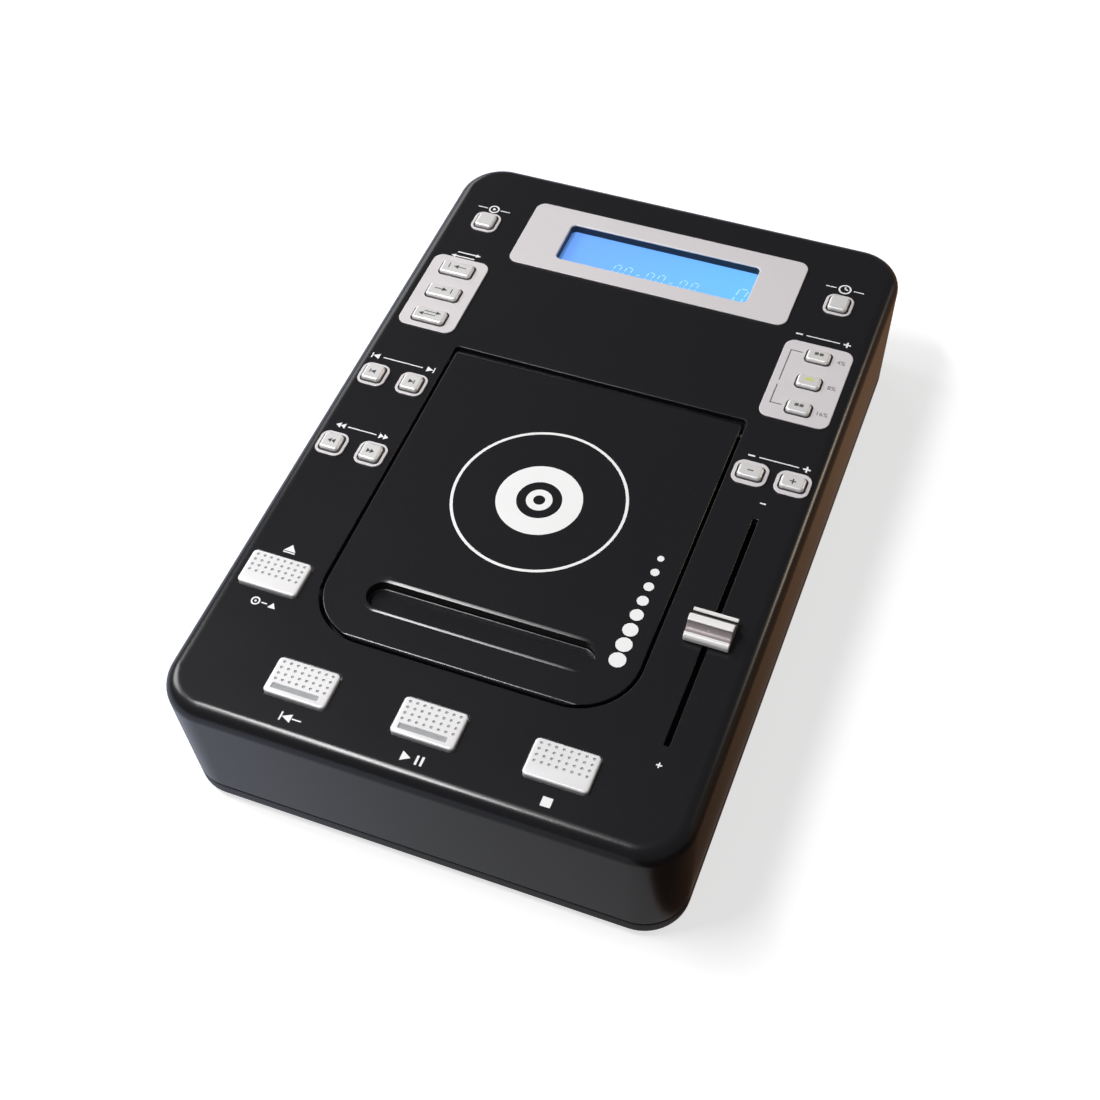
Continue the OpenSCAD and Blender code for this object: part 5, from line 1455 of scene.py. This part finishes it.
# %% [markdown]
# The sockets get what an owner looks for: coloured rings on the sound sockets, brass pins in the
# mains inlet, plain numbers, ON and OFF beside the rocker, and a bar and a ring on the rocker itself.
# `lathe` turns a profile round an axis that points to the rear.

# %% Coloured rings and pins
ring_white = finish("ring_white", (0.75, 0.75, 0.73), moulded_grain, rough=0.4, bump=0.05)
ring_red = finish("ring_red", (0.5, 0.02, 0.02), moulded_grain, rough=0.4, bump=0.05)
ring_amber = finish("ring_amber", (0.75, 0.28, 0.02), moulded_grain, rough=0.4, bump=0.05)
COLLAR = [(4.2, -0.1), (5.7, -0.1), (5.7, 0.9), (5.3, 1.2), (4.2, 1.2)]
INSULATOR = [(1.62, -0.3), (3.3, -0.3), (3.3, 0.12), (1.62, 0.12)]
MAINS_PIN = [(0.25, 0.0), (1.24, 0.0), (1.24, 8.7), (0.9, 9.2), (0.25, 9.2)]
MAINS_PIN_FOOT = 147.2


def lathe(name, x, profile, foot, material, steps=40):
    """profile: (radius, y) points in mm, y from the foot, turned round the axis at (x, SOCKET_Z)."""
    rows = [[(x + r * math.cos(a), foot + y, SOCKET_Z + r * math.sin(a)) for r, y in profile]
            for a in np.radians(np.arange(steps) * 360 / steps)]
    ride_on(loft(name, rows, [material], closed=True), "case")


barrel_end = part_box("audio_jacks")[1].y / MM
for x, material in ((20.0, ring_red), (38.0, ring_white), (58.0, ring_amber)):
    lathe("socket_%d_collar" % x, x, COLLAR, PANEL_Y, material)
    lathe("socket_%d_insulator" % x, x, INSULATOR, barrel_end, material)
for x in (-74.3, -65.7):
    lathe("mains_pin_%d" % -x, x, MAINS_PIN, MAINS_PIN_FOOT, turned_brass, 20)
print("rings and pins set")

# %% [markdown]
# Marks for the rear are drawn flat as well, and a matrix stands them up on the plate. X changes its
# sign there, because the rear is read from behind. A thin bracket joins the pair of sound sockets.

# %% Print on the rear
REAR = Matrix(((-1, 0, 0, 0), (0, 0, 1, PANEL_Y * MM), (0, 1, 0, 0), (0, 0, 0, 1)))
NUMBER_Z = 45.6
LABELS = [("1", 20.0, NUMBER_Z), ("2", 38.0, NUMBER_Z), ("3", 58.0, NUMBER_Z), ("4", 76.0, NUMBER_Z),
          ("ON", -38.0, 48.3), ("OFF", -38.0, 25.6)]
for text, x, z in LABELS:
    number(text, -x, z, 3.2, 0, white_print, "case", "rear_" + text.lower(), place=REAR)
rear_marks = [box_outline(-29.0, 30.0, 18.4, 0.35)]
rear_marks += [box_outline(x, 30.7, 0.35, 1.4) for x in (-20.0, -38.0)]
for side in (6.0, 3.4):
    inner, outer = (box_outline(18.5, SOCKET_Z, side + step, side + step) for step in (-0.45, 0.45))
    rear_marks += band(inner, outer)
print_marks("rear_print", rear_marks, 0, white_print, "case", 0.03, place=REAR)
print("rear printed")

# %% [markdown]
# The face of the rocker is bent, so its marks are laid on it. Each corner of a mark is dropped along
# Y until it meets the face. The lower side of the ink then sinks in a little and the upper side
# stands out.

# %% Marks on the rocker
INK_SINK, INK_LIFT = 0.15, 0.04
BEHIND = 1.0


def drape(name, outlines, node, material, body):
    """Marks in (x, z) mm, laid on the face of a node that looks to the rear."""
    surface = surface_of(nodes[node].data)
    work = bmesh.new()
    for outline in outlines:
        work.faces.new([work.verts.new((x * MM, BEHIND, z * MM)) for x, z in outline])
    bmesh.ops.remove_doubles(work, verts=work.verts, dist=SAME_CORNER)
    raised = set(extrude_all(work))
    for vertex in work.verts:
        spot = surface.ray_cast(Vector((vertex.co.x, BEHIND, vertex.co.z)), Vector((0, -1, 0)))[0]
        vertex.co.y = spot.y + (INK_LIFT if vertex in raised else -INK_SINK) * MM
    bmesh.ops.recalc_face_normals(work, faces=work.faces)
    mesh = mesh_from(work, name)
    paint(mesh, material)
    ride_on(link_piece(name, mesh), body)


rocker = middle("power_rocker") / MM
rocker_marks = [box_outline(rocker.x, rocker.z + 2.2 + step * 0.6, 0.6, 0.6) for step in (0, 1, 2)]
rocker_marks += ring_quads(rocker.x, rocker.z - 3.0, 1.0, 0.45, 24)
drape("rocker_print", rocker_marks, "power_rocker", white_print, "rocker")
print("rocker marks:", len(rocker_marks))

# %% [markdown]
# A rubber ring on the turntable grips the disc, and three steel balls in the hub hold it by its hole.

# %% Turntable rubber and hub balls
RUBBER = [(9.4, -0.1), (14.2, -0.1), (14.2, 0.2), (13.9, 0.35), (9.7, 0.35), (9.4, 0.2)]
BALL_RING, BALL_RISE, BALL_RADIUS = 6.9, 2.0, 1.0
PLATTER_Z = top_of("turntable") / MM - 4.0
hub = disc_axis / MM
rubber_rows = [[(hub.x + r * math.cos(a), hub.y + r * math.sin(a), PLATTER_Z + z) for r, z in RUBBER]
               for a in np.radians(np.arange(72) * 5)]
ride_on(loft("disc_rubber", rubber_rows, [foot_rubber], closed=True), "turntable")
work = bmesh.new()
for a in np.radians((90, 210, 330)):
    spot = Vector((hub.x + BALL_RING * math.cos(a), hub.y + BALL_RING * math.sin(a), PLATTER_Z + BALL_RISE))
    bmesh.ops.create_icosphere(work, subdivisions=3, radius=BALL_RADIUS * MM,
                               matrix=Matrix.Translation(spot * MM))
mesh = mesh_from(work, "hub_balls")
paint(mesh, ground_steel)
mesh.shade_smooth()
ride_on(link_piece("hub_balls", mesh), "turntable")
print("platter at", round(PLATTER_Z, 2), "mm")

# %% [markdown]
# The lens of the pickup is a low dome of coated glass on the plain block that carries it.

# %% Pickup lens
DOME_WIDE, DOME_HIGH = 0.78, 0.3
low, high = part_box("pickup_lens")
radius = (high.x - low.x) / 2
top = Matrix.Translation(((low.x + high.x) / 2, (low.y + high.y) / 2, high.z))
work = bmesh.new()
bmesh.ops.create_icosphere(work, subdivisions=4, radius=radius,
                           matrix=top @ Matrix.Diagonal((DOME_WIDE, DOME_WIDE, DOME_HIGH, 1)))
mesh = mesh_from(work, "lens_dome")
paint(mesh, lens_coat)
mesh.shade_smooth()
ride_on(link_piece("lens_dome", mesh), body_of_node["pickup_lens"])
print("lens radius", round(radius / MM, 2), "mm")

# %% [markdown]
# ## Camera, lamps and floor
#
# The camera stands to the right of and in front of the case and looks steeply down, with a normal
# lens. Its focal length and shifts are written as parts of a frame 1100 units wide.

# %% Camera
FRAME_UNITS, SENSOR_MM = 1100, 36.0
FOCAL, SHIFT_X, SHIFT_Y = 1673.83, -13.43, 0.23
camera_data = bpy.data.cameras.new("camera")
camera_data.sensor_width = SENSOR_MM
camera_data.lens = FOCAL / FRAME_UNITS * SENSOR_MM
camera_data.shift_x = SHIFT_X / FRAME_UNITS
camera_data.shift_y = SHIFT_Y / FRAME_UNITS
camera_data.clip_start = 0.01
right = Vector((0.9336550, 0.3565108, -0.0344732))
up = Vector((-0.2651132, 0.7525823, 0.6027726))
back = Vector((0.2408389, -0.5536423, 0.7971680))
turn = Matrix((right, up, back)).transposed().to_4x4()
camera = link_piece("camera", camera_data)
camera.matrix_world = Matrix.Translation(Vector((189.124, -439.087, 634.893)) * MM) @ turn
bpy.context.scene.camera = camera
print("lens", round(camera_data.lens, 2), "mm")

# %% [markdown]
# Straight to the camera the floor is white paper, with the soft shadow of the case on it. It is a
# matte paint that also shines a little, and more so far away, where it fades into the background.

# %% Floor and background
WHITE = (1, 1, 1, 1)
FLOOR_REACH = 6
NEAR, FAR, NEAR_SHINE, FAR_SHINE = 0.35, 0.9, 0.68, 1.0
corners = [(x * FLOOR_REACH, y * FLOOR_REACH, 0) for x, y in ((-1, -1), (1, -1), (1, 1), (-1, 1))]
floor_mesh = bpy.data.meshes.new("floor")
floor_mesh.from_pydata(corners, [], [(0, 1, 2, 3)])
link_piece("floor", floor_mesh)
floor_paint, tree, matte = new_material("floor_paint")
paint(floor_mesh, floor_paint)
matte.inputs["Base Color"].default_value = (0.55, 0.55, 0.56, 1)
matte.inputs["Roughness"].default_value = 0.9
matte.inputs["Specular IOR Level"].default_value = 0.0
coords = object_place(tree)
away = add_node(tree, "ShaderNodeVectorMath", {0: coords}, operation="LENGTH").outputs["Value"]
far_white = map_range(tree, away, NEAR, FAR, NEAR_SHINE, FAR_SHINE)
shine = add_node(tree, "ShaderNodeEmission", {"Color": WHITE, "Strength": far_white})
paper = add_node(tree, "ShaderNodeAddShader", {0: matte.outputs[0], 1: shine.outputs[0]})
print("paper floor ready")

# %% [markdown]
# What gloss and metal see of the floor is bright at the left and turns to brown wood at the right,
# which gives the black sides their cool and warm tint. The wood is darker in front. The kind of ray
# decides which floor is seen: the paper, the table or plain matte paint.

# %% What gloss and metal see of the table
TABLE_HALF, WOOD_FROM = 0.15, 0.113
WOOD_FRONT, WOOD_REAR, FRONT_LIGHT, REAR_LIGHT = -0.17, 0.12, 0.15, 1.25
STOPS = [(0.0, (0.62, 0.66, 0.8)), (0.5, (0.36, 0.37, 0.39)), (0.865, (0.27, 0.26, 0.27)),
         (0.88, (0.2, 0.11, 0.062))]


def mix_shader(tree, factor, first, second):
    return add_node(tree, "ShaderNodeMixShader", {0: factor, 1: first, 2: second}).outputs[0]


place = split_axes(tree, coords)
table = add_node(tree, "ShaderNodeValToRGB", {"Fac": map_range(tree, place["X"], -TABLE_HALF, TABLE_HALF)})
for index, (spot, colour) in enumerate(STOPS):
    stop = table.color_ramp.elements[index] if index < 2 else table.color_ramp.elements.new(spot)
    stop.position = spot
    stop.color = (*colour, 1)
deeper = map_range(tree, place["Y"], WOOD_FRONT, WOOD_REAR, FRONT_LIGHT, REAR_LIGHT)
change = math_node(tree, "SUBTRACT", deeper, 1.0)
on_wood = math_node(tree, "GREATER_THAN", place["X"], WOOD_FROM)
strength = math_node(tree, "MULTIPLY_ADD", change, on_wood, 1.0)
seen = add_node(tree, "ShaderNodeEmission", {"Color": table.outputs["Color"], "Strength": strength})
ray = add_node(tree, "ShaderNodeLightPath").outputs
mirrored = math_node(tree, "MAXIMUM", ray["Is Glossy Ray"], ray["Is Transmission Ray"])
by_gloss = mix_shader(tree, mirrored, matte.outputs[0], seen.outputs[0])
by_eye = mix_shader(tree, ray["Is Camera Ray"], by_gloss, paper.outputs[0])
join(tree, by_eye, tree.nodes["Material Output"].inputs["Surface"])
print("floor ready")

# %% [markdown]
# The world is white to the camera and gives the scene only a weak light. The shape of the case comes
# from four rectangular lamps: a narrow one above, two large ones at the left and behind, and a small
# warm one at the right.

# %% World and lamps
world = bpy.data.worlds.new("world")
bpy.context.scene.world = world
world.use_nodes = True
tree = world.node_tree
sky = tree.nodes["Background"]
sky.inputs["Color"].default_value = WHITE
sky.inputs["Strength"].default_value = 0.12
white = add_node(tree, "ShaderNodeBackground", {"Color": WHITE})
by_eye = mix_shader(tree, add_node(tree, "ShaderNodeLightPath").outputs["Is Camera Ray"],
                    sky.outputs[0], white.outputs[0])
join(tree, by_eye, tree.nodes["World Output"].inputs["Surface"])
CASE_MIDDLE, DAYLIGHT, WARM = (0, 0, 0.05), (1.0, 1.0, 1.0), (1.0, 0.82, 0.62)
LAMPS = [
    ("top_lamp", (-0.4, -0.25, 1.15), CASE_MIDDLE, (0.5, 0.14), 9.5, DAYLIGHT),
    ("left_lamp", (-1.25, 0.15, 1.0), CASE_MIDDLE, (0.6, 0.6), 10.0, DAYLIGHT),
    ("rear_lamp", (-1.2, 1.2, 0.6), CASE_MIDDLE, (0.8, 0.6), 3.5, DAYLIGHT),
    ("warm_lamp", (1.25, 0.95, 0.45), (0.1, 0.05, 0.07), (0.3, 0.2), 2.2, WARM),
]
for name, place, aim, size, power, colour in LAMPS:
    data = bpy.data.lights.new(name, "AREA")
    data.shape = "RECTANGLE"
    data.size, data.size_y = size
    data.energy = power
    data.color = colour
    turned = (Vector(place) - Vector(aim)).to_track_quat("Z", "Y").to_matrix().to_4x4()
    link_piece(name, data).matrix_world = Matrix.Translation(Vector(place)) @ turned
bpy.context.scene.view_settings.view_transform = "Standard"
print("lamps:", len(LAMPS))

# %% [markdown]
# ## Close the lesson
#
# The visual model stays inside the box of the CAD model. The last cell only brings the view layer up
# to date.

# %% End
bpy.context.view_layer.update()
